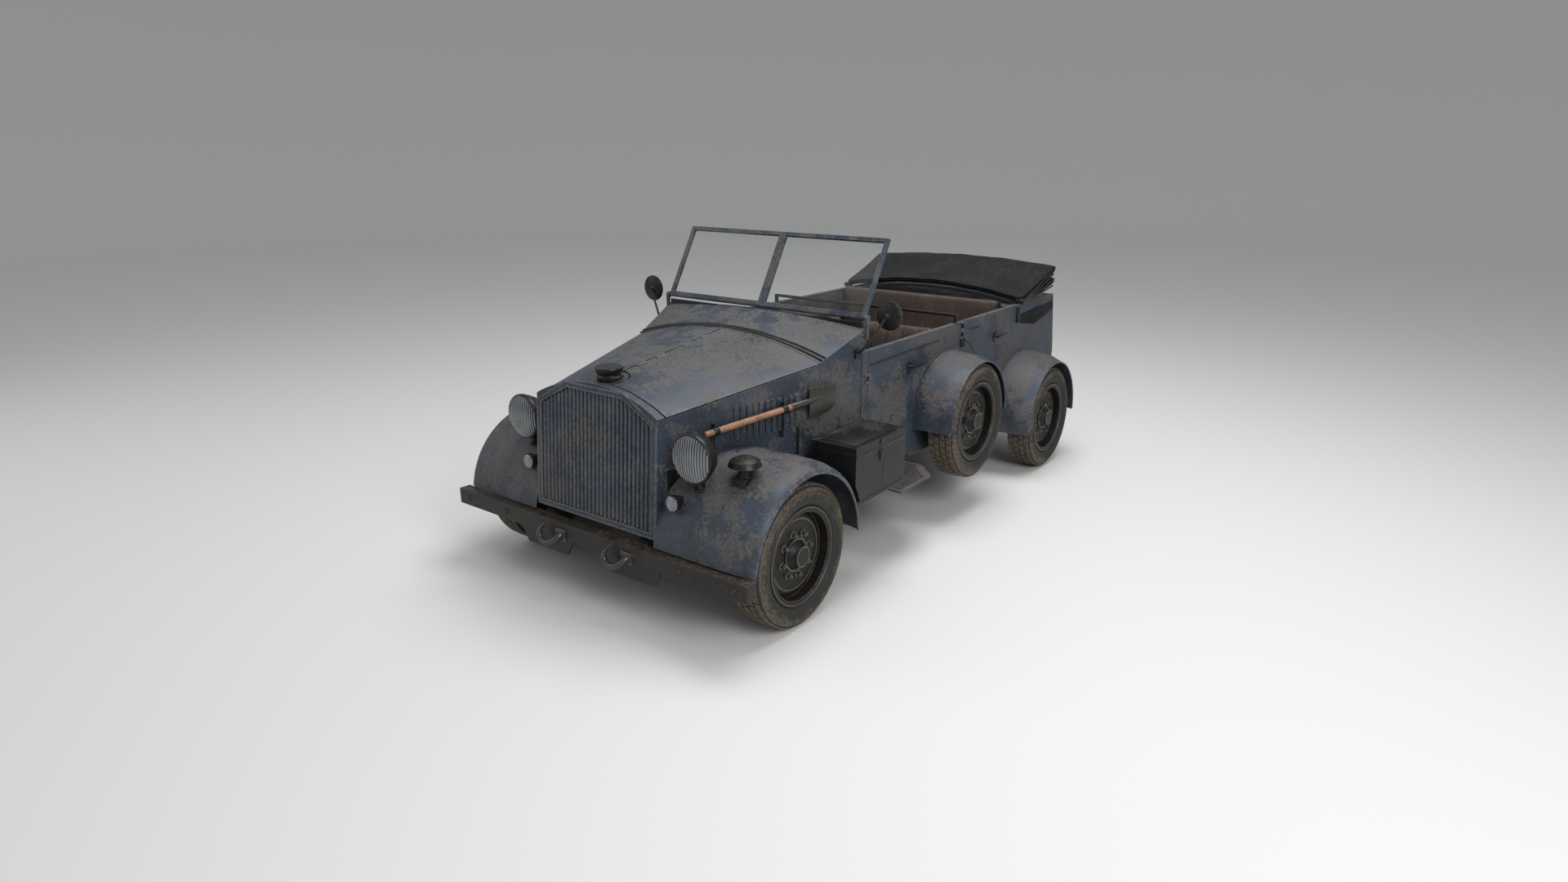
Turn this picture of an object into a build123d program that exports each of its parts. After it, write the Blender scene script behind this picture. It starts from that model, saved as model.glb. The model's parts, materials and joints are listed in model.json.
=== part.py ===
from build123d import *
from math import cos, hypot, radians, sin, sqrt
import os

# Open army cross-country car: four road wheels and a raised spare wheel on each side.
# +X is the car's left, -Y its front, +Z up; the origin is on the ground under its middle.
# Stations are distances behind the front axle; heights are above the ground.

# Overall layout
WHEELBASE = 3000.0
FRONT_OVERHANG = 562.0
REAR_OVERHANG = 620.0
FRONT_AXLE_Y = -(WHEELBASE + REAR_OVERHANG - FRONT_OVERHANG) / 2
FRONT_DOOR_FRONT = 925.0
REAR_DOOR_REAR = WHEELBASE - 205.0
DOORWAY_MIDDLE = (FRONT_DOOR_FRONT + REAR_DOOR_REAR) / 2

# Clearances
SEAT_GAP = 0.3
MOVING_GAP = 7.0
RUNNING_FIT = 0.05

# Wheels and tyres
TYRE_RADIUS = 356.0
TYRE_WIDTH = 190.0
TREAD_WIDTH = 146.0
RIM_FLANGE_RADIUS = 244.0
RIM_SEAT_RADIUS = 226.0
RIM_WIDTH = 150.0
RIM_WALL = 10.0
DISC_OFFSET = 22.0
DISC_THICKNESS = 10.0
HUB_RADIUS = 72.0
HUB_CAP_RADIUS = 52.0
HUB_REACH = 68.0
SPINDLE_RADIUS = 30.0
SPINDLE_REACH = 60.0
DRUM_RADIUS = 165.0
DRUM_WALL = 12.0
DRUM_DEPTH = 70.0
WHEEL_X = 875.0
SPARE_X = 866.0
SPARE_STATION = DOORWAY_MIDDLE - 17.0
SPARE_Z = 594.0
AXLE_Z = TYRE_RADIUS

# Axles, steering and springs
AXLE_TUBE_RADIUS = 40.0
DIFF_RADIUS = 105.0
KINGPIN_X = 735.0
KINGPIN_RADIUS = 18.0
KNUCKLE_EYE_RADIUS = 34.0
KNUCKLE_EYE_HEIGHT = 80.0
KNUCKLE_ARM_HEIGHT = 30.0
KNUCKLE_ARM_WIDTH = 50.0
KNUCKLE_AXIAL_GAP = 6.0
KNUCKLE_SINK = 5.0
BACK_PLATE_RADIUS = 120.0
BACK_PLATE_THICKNESS = 15.0
SPRING_X = 405.0
SPRING_WIDTH = 50.0
SPRING_THICKNESS = 30.0
SPRING_HALF_LENGTH = 290.0
SPRING_RISE = 22.0

# Chassis
RAIL_X = 330.0
RAIL_WIDTH = 60.0
RAIL_BOTTOM = 400.0
RAIL_TOP = 478.0
RAIL_FRONT = -335.0
RAIL_REAR = WHEELBASE + 540.0
HORN_BOTTOM = 345.0
HORN_TOP = 425.0
CROSS_WIDTH = 60.0
CROSS_INSET = 5.0
GEARBOX_MEMBER = 560.0
TRANSFER_MEMBER = 1300.0
REAR_SPRING_MEMBER = WHEELBASE - 700.0
TAIL_MEMBER = WHEELBASE + 420.0
TRANSFER_HALF_LENGTH = 110.0
TRANSFER_HALF_WIDTH = 110.0
SHAFT_RADIUS = 26.0

# Engine and exhaust
ENGINE_HALF = 165.0
ENGINE_FRONT = -215.0
ENGINE_REAR = 430.0
ENGINE_BOTTOM = RAIL_TOP + 22.0
SUMP_HALF = 100.0
SUMP_FRONT = 150.0
SUMP_REAR = 400.0
GEARBOX_HALF = 90.0
GEARBOX_REAR = 520.0
GEARBOX_TOP = 760.0
MOUNT_HALF = 30.0
MOUNT_DEPTH = 20.0
EXHAUST_X = SPRING_X + 95.0
EXHAUST_Z = RAIL_BOTTOM + 46.0
EXHAUST_FRONT = 250.0
EXHAUST_RADIUS = 22.0
SILENCER_RADIUS = 31.0
SILENCER_LENGTH = 650.0
SILENCER_REAR = WHEELBASE - 650.0
SILENCER_FRONT = SILENCER_REAR - SILENCER_LENGTH

# Bumper and hooks
BUMPER_HALF_WIDTH = 1019.0
BUMPER_FRONT = -498.0
BUMPER_DEPTH = 66.0
BUMPER_BOTTOM = 327.0
BUMPER_TOP = 413.0
BUMPER_WALL = 8.0
HOOK_X = 235.0
HOOK_BAR_RADIUS = 16.0
HOOK_PLATE = 8.0

# Radiator shell and grille
SHELL_HALF_WIDTH = 421.0
SHELL_BOTTOM = 445.0
SHELL_SHOULDER = 1025.0
SHELL_CREST = 1131.0
SHELL_FRONT_LOW = -436.0
SHELL_FRONT_HIGH = -384.0
SHELL_REAR = -341.0
SHELL_RIM = 34.0
OPENING_SHOULDER = SHELL_SHOULDER - 40.0
OPENING_FLAT_HALF = 190.0
OPENING_TOP = SHELL_CREST - 46.0
TIE_HEIGHTS = (630.0, 890.0)
TIE_WIDTH = 20.0
TANK_HEIGHT = 70.0
TANK_INSET = 60.0
CORE_DEPTH = 60.0
CORE_SIDE_GAP = 5.0
CORE_TOP = min(OPENING_SHOULDER - 15.0, OPENING_TOP - TANK_HEIGHT - 30.0)
ENGINE_TOP = CORE_TOP - 40.0
SLAT_COUNT = 28
SLAT_WIDTH = 15.0
SLAT_DEPTH = 14.0
SLAT_SETBACK = 5.0
CAP_STATION = -281.0
CAP_RADIUS = 69.0
CAP_BOTTOM = 1138.0
CAP_TOP = 1196.0
CAP_EDGE = 10.0
NECK_RADIUS = 42.0

# Bonnet and scuttle
SHEET = 6.0
BONNET_REAR = 560.0
BONNET_REAR_HALF = 650.0
BONNET_REAR_SHOULDER = 1147.0
BONNET_REAR_CREST = 1255.0
BONNET_HINGE_RADIUS = 6.0
BONNET_SLEEVE_RADIUS = 11.0
LOUVRE_COUNT = 11
LOUVRE_FIRST = 40.0
LOUVRE_PITCH = 37.0
LOUVRE_TOP = SHELL_SHOULDER - 15.0
LOUVRE_BOTTOM = LOUVRE_TOP - 168.0
BONNET_SIDE_BOTTOM = LOUVRE_BOTTOM - 72.0
LOUVRE_WIDTH = 20.0
LOUVRE_RAISE = 9.0
SCUTTLE_REAR = 897.0
SCUTTLE_REAR_SHOULDER = 1288.0
SCUTTLE_REAR_CREST = 1322.0
BULKHEAD_STATION = 640.0
BULKHEAD_THICKNESS = 10.0

# Body tub
BODY_HALF = 714.0
BODY_WALL = 30.0
BODY_FRONT = 866.0
BODY_TOP = 1160.0
SILL_BOTTOM = 435.0
FLOOR_BOTTOM = RAIL_TOP
FLOOR_THICKNESS = 12.0
TAIL_TOP = WHEELBASE + 515.0
TAIL_WAIST = WHEELBASE + 590.0
TAIL_WAIST_Z = 728.0
TAIL_LOW = WHEELBASE + 565.0
TAIL_WALL = 25.0
DECK_FRONT = REAR_DOOR_REAR + 5.0
DECK_DROP = 8.0
DECK_THICKNESS = 15.0

# Doors
FRONT_DOOR_REAR = SPARE_STATION - 103.0
REAR_DOOR_FRONT = SPARE_STATION + 191.0
DOOR_BOTTOM = 505.0
SPARE_CUT_FRONT = 446.0
SPARE_CUT_REAR = 500.0
REAR_CUT = 492.0
HINGE_STANDOFF = 10.0
HINGE_PIN_RADIUS = 5.0
HINGE_SLEEVE_RADIUS = 9.0
HINGE_HEIGHT = 26.0
HINGE_LUG_HEIGHT = 10.0
HINGE_AXIAL_GAP = 2.0
HINGE_LEAF_LENGTH = 55.0
HINGE_LUG_LENGTH = 42.0
HANDLE_REACH = 34.0
HANDLE_LENGTH = 130.0
HANDLE_WIDTH = 18.0
HANDLE_THICKNESS = 12.0
HANDLE_Z = 993.0

# Mudguards: radius at the lip and at the crown, about each wheel's centre
GUARD_WALL = 5.0
FRONT_LIP_X = 1000.0
FRONT_LIP_RADIUS = 416.0
FRONT_ROLL_X = 860.0
FRONT_CROWN_RADIUS = 460.0
FRONT_GUARD_REAR_ANGLE = 0.0
FRONT_GUARD_FRONT_ANGLE = 172.0
SPARE_LIP_X = 958.0
SPARE_LIP_RADIUS = 374.0
SPARE_ROLL_X = 898.0
SPARE_ROLL_RADIUS = 396.0
SPARE_CROWN_RADIUS = 414.0
REAR_LIP_X = 978.0
REAR_LIP_RADIUS = 402.0
REAR_ROLL_X = 888.0
REAR_ROLL_RADIUS = 440.0
REAR_CROWN_RADIUS = 462.0

# Toolboxes and steps
TOOLBOX_OUTER = 982.0
TOOLBOX_FRONT = 404.0
TOOLBOX_REAR = 882.0
TOOLBOX_BOTTOM = 486.0
TOOLBOX_TOP = 791.0
TOOLBOX_WALL = 5.0
LID_THICKNESS = 35.0
LID_PIN_RADIUS = 4.0
LID_SLEEVE_RADIUS = 7.0
LID_LUG = 14.0
LID_PIN_REACH = 20.0
LID_AXIAL_GAP = 6.0
LID_AXIS_DROP = 6.0
LID_WEB = 10.0
STEP_OUTER = 960.0
STEP_FRONT = 900.0
STEP_REAR = SPARE_STATION - 473.0
STEP_CLIP = 132.0
STEP_TUCK = 60.0
STEP_TOP = 418.0
STEP_THICKNESS = 14.0

# Windscreen
SCREEN_HALF = 705.0
SCREEN_FOOT_STATION = SCUTTLE_REAR
SCREEN_FOOT_Z = 1338.0
SCREEN_TOP_STATION = 1125.0
SCREEN_TOP_Z = 1731.0
SCREEN_BAR = 22.0
SCREEN_CENTRE_BAR = 46.0
SCREEN_PIN_RADIUS = 8.0
SCREEN_EYE_RADIUS = 17.0
GLASS_THICKNESS = 5.0

# Lamps
HEADLAMP_X = SHELL_HALF_WIDTH + 169.0
HEADLAMP_FRONT = -362.0
HEADLAMP_Z = 862.0
HEADLAMP_RADIUS = 116.0
HEADLAMP_DEPTH = 150.0
SIDE_LAMP_X = SHELL_HALF_WIDTH + 89.0
SIDE_LAMP_FRONT = -412.0
SIDE_LAMP_Z = 646.0
SIDE_LAMP_RADIUS = 40.0
BLACKOUT_X = HEADLAMP_X + 185.0
BLACKOUT_STATION = -205.0
BLACKOUT_TOP = 868.0
BLACKOUT_RADIUS = 79.0
BLACKOUT_HEIGHT = 38.0
BLACKOUT_FOOT_HALF = 37.0
BLACKOUT_FOOT_TOP = BLACKOUT_TOP - 89.0

# Mirrors
MIRROR_X = 852.0
MIRROR_STATION = 895.0
MIRROR_Z = 1365.0
MIRROR_RADIUS = 78.0
MIRROR_FOOT_STATION = 830.0
MIRROR_FOOT_Z = 1158.0

# Seats, rail and steering wheel
SEAT_TOP = 760.0
SEAT_HALF = 640.0
FRONT_SEAT_REAR = SPARE_STATION + 57.0
FRONT_SEAT_DEPTH = 570.0
FRONT_SEAT_FRONT = FRONT_SEAT_REAR - FRONT_SEAT_DEPTH
FRONT_BACK_TOP = 1150.0
REAR_SEAT_REAR = REAR_DOOR_REAR - 15.0
REAR_SEAT_DEPTH = 490.0
REAR_CUSHION_DEPTH = 380.0
REAR_BACK_THICKNESS = 80.0
SEAT_DISH = 30.0
REAR_SEAT_FRONT = REAR_SEAT_REAR - REAR_SEAT_DEPTH
REAR_BACK_TOP = 1206.0
RAIL_BEHIND_SEAT = 60.0
RAIL_STATION = FRONT_SEAT_REAR + RAIL_BEHIND_SEAT
RAIL_HEIGHT = 1207.0
RAIL_RADIUS = 10.0
STEERING_X = 350.0
STEERING_STATION = 1150.0
STEERING_Z = 1120.0
STEERING_WHEEL_RADIUS = 205.0
STEERING_RIM_RADIUS = 14.0
COLUMN_FOOT_STATION = 800.0
COLUMN_FOOT_Z = 868.0
COLUMN_RADIUS = 20.0
COLUMN_PIN_RADIUS = 10.0
PEDAL_STATION = BULKHEAD_STATION + 90.0
PEDAL_Z = 610.0
PEDAL_PITCH = 95.0
PEDAL_WIDTH = 60.0
LEVER_STATION = FRONT_SEAT_FRONT - 130.0
LEVER_RADIUS = 9.0
KNOB_RADIUS = 21.0
DASH_BOTTOM = 915.0
DASH_TOP = 1255.0

# Folded hood
HOOD_FRONT = WHEELBASE - 115.0
HOOD_REAR = WHEELBASE + 450.0
HOOD_FRONT_HALF = 728.0
HOOD_REAR_HALF = 750.0
HOOD_FRONT_Z = 1180.0
HOOD_FRONT_RISE = 80.0
HOOD_REAR_TOP = 1390.0
HOOD_REAR_RISE = 40.0
HOOD_LAYERS = 4
HOOD_LAYER_THICKNESS = 22.0
HOOD_LAYER_PITCH = 44.0
HOOD_STEM = 18.0

# Spade on the left bonnet side
SPADE_STANDOFF = 30.0
SPADE_FRONT = -152.0
SPADE_WOOD_END = 372.0
SPADE_SOCKET_END = 470.0
SPADE_BLADE_END = 655.0
SPADE_FRONT_Z = SHELL_SHOULDER - 113.0
SPADE_END_Z = SPADE_FRONT_Z + 56.0
SPADE_RADIUS = 17.0
BLADE_THICKNESS = 8.0
BLADE_OUTLINE = [
    # share of the way from socket to blade end, above the socket's end
    (0.0, 70.0), (0.92, 68.0), (1.0, -3.0), (0.86, -54.0), (0.54, -78.0), (0.06, -90.0), (0.0, -82.0),
]


def station(distance):
    """Y of a place this far behind the front axle."""
    return FRONT_AXLE_Y + distance


def block(x_span, y_span, z_span):
    """Box between two limits on each axis."""
    spans = (x_span, y_span, z_span)
    size = [high - low for low, high in spans]
    middle = [(high + low) / 2 for low, high in spans]
    return Pos(*middle) * Box(*size)


def rod(start, end, radius):
    """Round bar between two points."""
    run = Vector(*end) - Vector(*start)
    bar = Cylinder(radius, run.length, align=(Align.CENTER, Align.CENTER, Align.MIN))
    return Plane(origin=start, z_dir=run) * bar


def cross_rod(x_span, distance, height, radius):
    """Round bar along X."""
    return rod((x_span[0], station(distance), height), (x_span[1], station(distance), height), radius)


def upright(x, distance, z_span, radius):
    """Round bar along Z."""
    return rod((x, station(distance), z_span[0]), (x, station(distance), z_span[1]), radius)


def other_side(shape):
    """Mirror image across the car's middle plane."""
    return mirror(shape, about=Plane.YZ)


def both_sides(shape):
    """A left-hand piece with its right-hand twin."""
    return [shape, other_side(shape)]


def side_plate(outline, x_span):
    """Plate standing on the YZ plane, from an outline of (station, height) points."""
    points = [(station(distance), height) for distance, height in outline]
    face = make_face(Polyline(*points, close=True))
    return extrude(Plane.YZ.offset(x_span[0]) * face, amount=x_span[1] - x_span[0])


def turned(profile):
    """Full solid of revolution about X, from (x, radius) points."""
    face = make_face(Polyline(*profile, close=True))
    return revolve(Plane.XZ * face, Axis.X)


def upright_turned(profile, x, distance):
    """Solid of revolution about an upright axis, from (radius, height) points."""
    face = Plane.XZ * make_face(Polyline(*profile, close=True))
    return Pos(x, station(distance), 0) * revolve(face, Axis.Z)


def section_plane(distance):
    """Plane across the car at a station, with local axes X and Z."""
    return Plane(origin=(0, station(distance), 0), x_dir=(1, 0, 0), z_dir=(0, -1, 0))


def between(start, end, share):
    """Value a share of the way from start to end."""
    return start + (end - start) * share


def guard_shell(profile, distance, height, rear_angle, front_angle):
    """Mudguard turned about a wheel, from (x, radius) points; angles run from behind over the top."""
    inner = [(x, radius - GUARD_WALL) for x, radius in reversed(profile)]
    inner[0] = (profile[-1][0] - GUARD_WALL, profile[-1][1])
    face = Plane.XZ * make_face(Polyline(*profile, *inner, close=True))
    start = Rot(X=rear_angle - 90) * face
    return Pos(0, station(distance), height) * revolve(start, Axis.X, front_angle - rear_angle)


# Wheels
def make_rim():
    """Pressed wheel with drum and hub, about the X axis, outer side towards +X."""
    half = RIM_WIDTH / 2
    barrel = turned([
        (-half, RIM_SEAT_RADIUS - RIM_WALL), (half, RIM_SEAT_RADIUS - RIM_WALL),
        (half, RIM_FLANGE_RADIUS), (half - RIM_WALL, RIM_FLANGE_RADIUS),
        (half - RIM_WALL, RIM_SEAT_RADIUS), (-half + RIM_WALL, RIM_SEAT_RADIUS),
        (-half + RIM_WALL, RIM_FLANGE_RADIUS), (-half, RIM_FLANGE_RADIUS),
    ])
    disc_outer = DISC_OFFSET + DISC_THICKNESS
    bore = SPINDLE_RADIUS + RUNNING_FIT
    disc = turned([
        (DISC_OFFSET - 12, RIM_SEAT_RADIUS - RIM_WALL), (DISC_OFFSET, DRUM_RADIUS + 12),
        (DISC_OFFSET, bore), (disc_outer, bore),
        (disc_outer, DRUM_RADIUS + 18), (disc_outer - 12, RIM_SEAT_RADIUS - RIM_WALL),
    ])
    drum = turned([
        (DISC_OFFSET - DRUM_DEPTH, DRUM_RADIUS - DRUM_WALL), (DISC_OFFSET, DRUM_RADIUS - DRUM_WALL),
        (DISC_OFFSET, DRUM_RADIUS), (DISC_OFFSET - DRUM_DEPTH, DRUM_RADIUS),
    ])
    hub = turned([
        (-HUB_CAP_RADIUS + 14, bore), (-HUB_CAP_RADIUS + 14, HUB_CAP_RADIUS), (DISC_OFFSET, HUB_RADIUS),
        (disc_outer + 8, HUB_RADIUS), (HUB_REACH - 6, HUB_CAP_RADIUS), (HUB_REACH + 12, HUB_CAP_RADIUS - 8),
        (HUB_REACH + 12, 0), (HUB_REACH, 0), (HUB_REACH, bore),
    ])
    return barrel + disc + drum + hub


def make_tyre():
    """Tyre about the X axis, seated between the rim's flanges."""
    bead = RIM_WIDTH / 2 - RIM_WALL - SEAT_GAP
    half = TYRE_WIDTH / 2
    tread = TREAD_WIDTH / 2
    seat = RIM_SEAT_RADIUS + SEAT_GAP
    clear = RIM_FLANGE_RADIUS + 2
    wide = (RIM_FLANGE_RADIUS + TYRE_RADIUS) / 2
    return turned([
        (-bead, seat), (bead, seat), (bead, clear), (half - 8, clear + 6), (half, wide),
        (half - 5, TYRE_RADIUS - 24), (tread, TYRE_RADIUS - 3), (tread - 30, TYRE_RADIUS),
        (30 - tread, TYRE_RADIUS), (-tread, TYRE_RADIUS - 3), (5 - half, TYRE_RADIUS - 24),
        (-half, wide), (8 - half, clear + 6), (-bead, clear),
    ])


def make_wheels():
    """Six wheels: a rim and a tyre node each."""
    places = [
        # name, X, station, height
        ("front", WHEEL_X, 0.0, AXLE_Z),
        ("spare", SPARE_X, SPARE_STATION, SPARE_Z),
        ("rear", WHEEL_X, WHEELBASE, AXLE_Z),
    ]
    rim, tyre = make_rim(), make_tyre()
    pieces = {}
    for name, x, distance, height in places:
        place = Pos(x, station(distance), height)
        for piece, shape in (("rim", rim), ("tyre", tyre)):
            left = place * shape
            pieces[f"{piece}_{name}_left"] = left
            pieces[f"{piece}_{name}_right"] = other_side(left)
    return pieces


# Running gear
def diff_case(distance):
    """Rounded differential case in the middle of an axle."""
    step = DIFF_RADIUS / 2
    neck = AXLE_TUBE_RADIUS + 5
    right = [(-2 * step, 0), (-2 * step, neck), (-step, DIFF_RADIUS - 12), (-step / 2, DIFF_RADIUS)]
    left = [(-x, radius) for x, radius in reversed(right)]
    return Pos(0, station(distance), AXLE_Z) * turned(right + left)


def make_front_axle():
    """Driven beam axle with an eye for each kingpin."""
    reach = KINGPIN_X - KNUCKLE_EYE_RADIUS + 6
    beam = cross_rod((-reach, reach), 0, AXLE_Z, AXLE_TUBE_RADIUS)
    diff = diff_case(0.0)
    eye_span = (AXLE_Z - KNUCKLE_EYE_HEIGHT / 2, AXLE_Z + KNUCKLE_EYE_HEIGHT / 2)
    for side in (-1, 1):
        beam += upright(side * KINGPIN_X, 0, eye_span, KNUCKLE_EYE_RADIUS)
        beam -= upright(side * KINGPIN_X, 0, (0, 2 * AXLE_Z), KINGPIN_RADIUS + RUNNING_FIT)
    return beam + diff


def make_knuckle():
    """Left steering knuckle: kingpin, two arms, back plate and wheel spindle."""
    eye_half = KNUCKLE_EYE_HEIGHT / 2
    arm_low = eye_half + KNUCKLE_AXIAL_GAP
    arm_high = arm_low + KNUCKLE_ARM_HEIGHT
    plate_x = WHEEL_X - RIM_WIDTH / 2 - BACK_PLATE_THICKNESS
    width = (station(0) - KNUCKLE_ARM_WIDTH / 2, station(0) + KNUCKLE_ARM_WIDTH / 2)
    knuckle = upright(KINGPIN_X, 0, (AXLE_Z - arm_high, AXLE_Z + arm_high), KINGPIN_RADIUS)
    for low, high in ((arm_low, arm_high), (-arm_high, -arm_low)):
        reach = (KINGPIN_X - KNUCKLE_ARM_WIDTH / 2, plate_x + KNUCKLE_SINK)
        knuckle += block(reach, width, (AXLE_Z + low, AXLE_Z + high))
    knuckle += cross_rod((plate_x, plate_x + BACK_PLATE_THICKNESS), 0, AXLE_Z, BACK_PLATE_RADIUS)
    knuckle += cross_rod((plate_x, WHEEL_X + SPINDLE_REACH), 0, AXLE_Z, SPINDLE_RADIUS)
    return knuckle


def make_rear_axle():
    """Driven beam axle with a flange and spindle for each wheel."""
    plate_x = WHEEL_X - RIM_WIDTH / 2 - BACK_PLATE_THICKNESS
    axle = cross_rod((-plate_x, plate_x), WHEELBASE, AXLE_Z, AXLE_TUBE_RADIUS)
    axle += diff_case(WHEELBASE)
    for side in (-1, 1):
        inner, outer = sorted((side * plate_x, side * (plate_x + BACK_PLATE_THICKNESS)))
        axle += cross_rod((inner, outer), WHEELBASE, AXLE_Z, BACK_PLATE_RADIUS)
        ends = sorted((side * plate_x, side * (WHEEL_X + SPINDLE_REACH)))
        axle += cross_rod(ends, WHEELBASE, AXLE_Z, SPINDLE_RADIUS)
    return axle


def make_springs():
    """Leaf spring pack on each end of both axles, flat on the axle and rising to its ends."""
    low = AXLE_Z + AXLE_TUBE_RADIUS - 2
    half, rise, thick = SPRING_HALF_LENGTH, SPRING_RISE, SPRING_THICKNESS
    springs = []
    for axle in (0.0, WHEELBASE):
        outline = [
            (axle - half, low + rise), (axle - 60, low), (axle + 60, low), (axle + half, low + rise),
            (axle + half, low + rise + thick / 2), (axle + 60, low + thick),
            (axle - 60, low + thick), (axle - half, low + rise + thick / 2),
        ]
        left = side_plate(outline, (SPRING_X - SPRING_WIDTH / 2, SPRING_X + SPRING_WIDTH / 2))
        left -= cross_rod((0, KINGPIN_X), axle, AXLE_Z, AXLE_TUBE_RADIUS)
        springs += both_sides(left)
    return Compound(springs)


def make_chassis():
    """Ladder frame with horns, spring hangers and cross members."""
    half = RAIL_WIDTH / 2
    rail = block((RAIL_X - half, RAIL_X + half), (station(RAIL_FRONT), station(RAIL_REAR)),
                 (RAIL_BOTTOM, RAIL_TOP))
    horn_rear = station(RAIL_FRONT + 120)
    rail += block((RAIL_X - half, RAIL_X + half),
                  (station(BUMPER_FRONT + BUMPER_DEPTH), horn_rear), (HORN_BOTTOM, HORN_TOP))
    hanger_low = AXLE_Z + AXLE_TUBE_RADIUS - 2 + SPRING_RISE
    for axle in (0.0, WHEELBASE):
        for end in (-1, 1):
            middle = station(axle + end * (SPRING_HALF_LENGTH + 18))
            rail += block((RAIL_X, SPRING_X + SPRING_WIDTH / 2), (middle - 18, middle + 18),
                          (hanger_low, RAIL_TOP - 10))
    frame = rail + other_side(rail)
    members = [
        # station, low, high
        (RAIL_FRONT + 30, HORN_BOTTOM, SHELL_BOTTOM),
    ]
    for member in (GEARBOX_MEMBER, TRANSFER_MEMBER, REAR_SPRING_MEMBER, TAIL_MEMBER):
        members.append((member, RAIL_BOTTOM + CROSS_INSET, RAIL_TOP - CROSS_INSET))
    for distance, low, high in members:
        middle = station(distance)
        frame += block((-RAIL_X, RAIL_X), (middle - CROSS_WIDTH / 2, middle + CROSS_WIDTH / 2), (low, high))
    return frame


def make_prop_shafts():
    """Transfer box under the middle cross member with a shaft to each axle."""
    case_top = RAIL_BOTTOM + CROSS_INSET
    front, rear = TRANSFER_MEMBER - TRANSFER_HALF_LENGTH, TRANSFER_MEMBER + TRANSFER_HALF_LENGTH
    case = block((-TRANSFER_HALF_WIDTH, TRANSFER_HALF_WIDTH), (station(front), station(rear)),
                 (AXLE_Z - 60, case_top))
    shafts = rod((0, station(0), AXLE_Z), (0, station(front), AXLE_Z), SHAFT_RADIUS)
    shafts += rod((0, station(rear), AXLE_Z), (0, station(WHEELBASE), AXLE_Z), SHAFT_RADIUS)
    for axle in (0.0, WHEELBASE):
        shafts -= cross_rod((-DIFF_RADIUS, DIFF_RADIUS), axle, AXLE_Z, DIFF_RADIUS)
    return case + shafts


def make_engine():
    """Engine and gearbox as one plain block on the chassis rails."""
    engine = block((-ENGINE_HALF, ENGINE_HALF), (station(ENGINE_FRONT), station(ENGINE_REAR)),
                   (ENGINE_BOTTOM, ENGINE_TOP))
    engine += block((-SUMP_HALF, SUMP_HALF), (station(SUMP_FRONT), station(SUMP_REAR)),
                    (RAIL_BOTTOM + 35, ENGINE_BOTTOM))
    engine += block((-GEARBOX_HALF, GEARBOX_HALF), (station(ENGINE_REAR), station(GEARBOX_REAR)),
                    (ENGINE_BOTTOM, GEARBOX_TOP))
    for distance in (ENGINE_FRONT + 95, ENGINE_REAR - 100):
        middle = station(distance)
        engine += block((-RAIL_X, RAIL_X), (middle - MOUNT_HALF, middle + MOUNT_HALF),
                        (RAIL_TOP, ENGINE_BOTTOM + MOUNT_DEPTH))
    return engine


def make_exhaust():
    """Exhaust pipe with its silencer along the right-hand rail."""
    x, height = -EXHAUST_X, EXHAUST_Z
    pipe = rod((x, station(EXHAUST_FRONT), height), (x, station(RAIL_REAR), height), EXHAUST_RADIUS)
    pipe += rod((x, station(SILENCER_FRONT), height), (x, station(SILENCER_REAR), height), SILENCER_RADIUS)
    hangers = (EXHAUST_FRONT + 370, SILENCER_FRONT - 140, SILENCER_REAR + 70, RAIL_REAR - 60)
    for distance in hangers:
        middle = station(distance)
        pipe += block((x, -RAIL_X - RAIL_WIDTH / 2), (middle - 12, middle + 12), (height - 8, height + 8))
    return pipe


# Front end
def make_bumper():
    """Channel bumper with a trapezoid plate under each half."""
    y_span = (station(BUMPER_FRONT), station(BUMPER_FRONT + BUMPER_DEPTH))
    bumper = block((-BUMPER_HALF_WIDTH, BUMPER_HALF_WIDTH), y_span, (BUMPER_BOTTOM, BUMPER_TOP))
    inner = (BUMPER_HALF_WIDTH - BUMPER_WALL)
    bumper -= block((-inner, inner), (y_span[0] + BUMPER_WALL, y_span[1] - BUMPER_WALL),
                    (BUMPER_BOTTOM - 1, BUMPER_TOP - BUMPER_WALL))
    plate_points = [(95, BUMPER_BOTTOM + 20), (150, 240), (455, 240), (510, BUMPER_BOTTOM + 20)]
    plate = extrude(section_plane(BUMPER_FRONT + 8) * make_face(Polyline(*plate_points, close=True)), -14)
    return bumper + plate + other_side(plate)


HOOK_LINE = [
    # across from the hook's middle, ahead of the bumper, above its lower edge, share of the bar's radius
    (55.0, -4.0, 24.0, 1.0),
    (50.0, 24.0, 10.0, 1.0),
    (20.0, 44.0, -14.0, 1.0),
    (-25.0, 48.0, -18.0, 1.0),
    (-58.0, 45.0, 8.0, 0.9),
    (-52.0, 42.0, 46.0, 0.68),
    (-22.0, 38.0, 80.0, 0.3),
]


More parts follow.
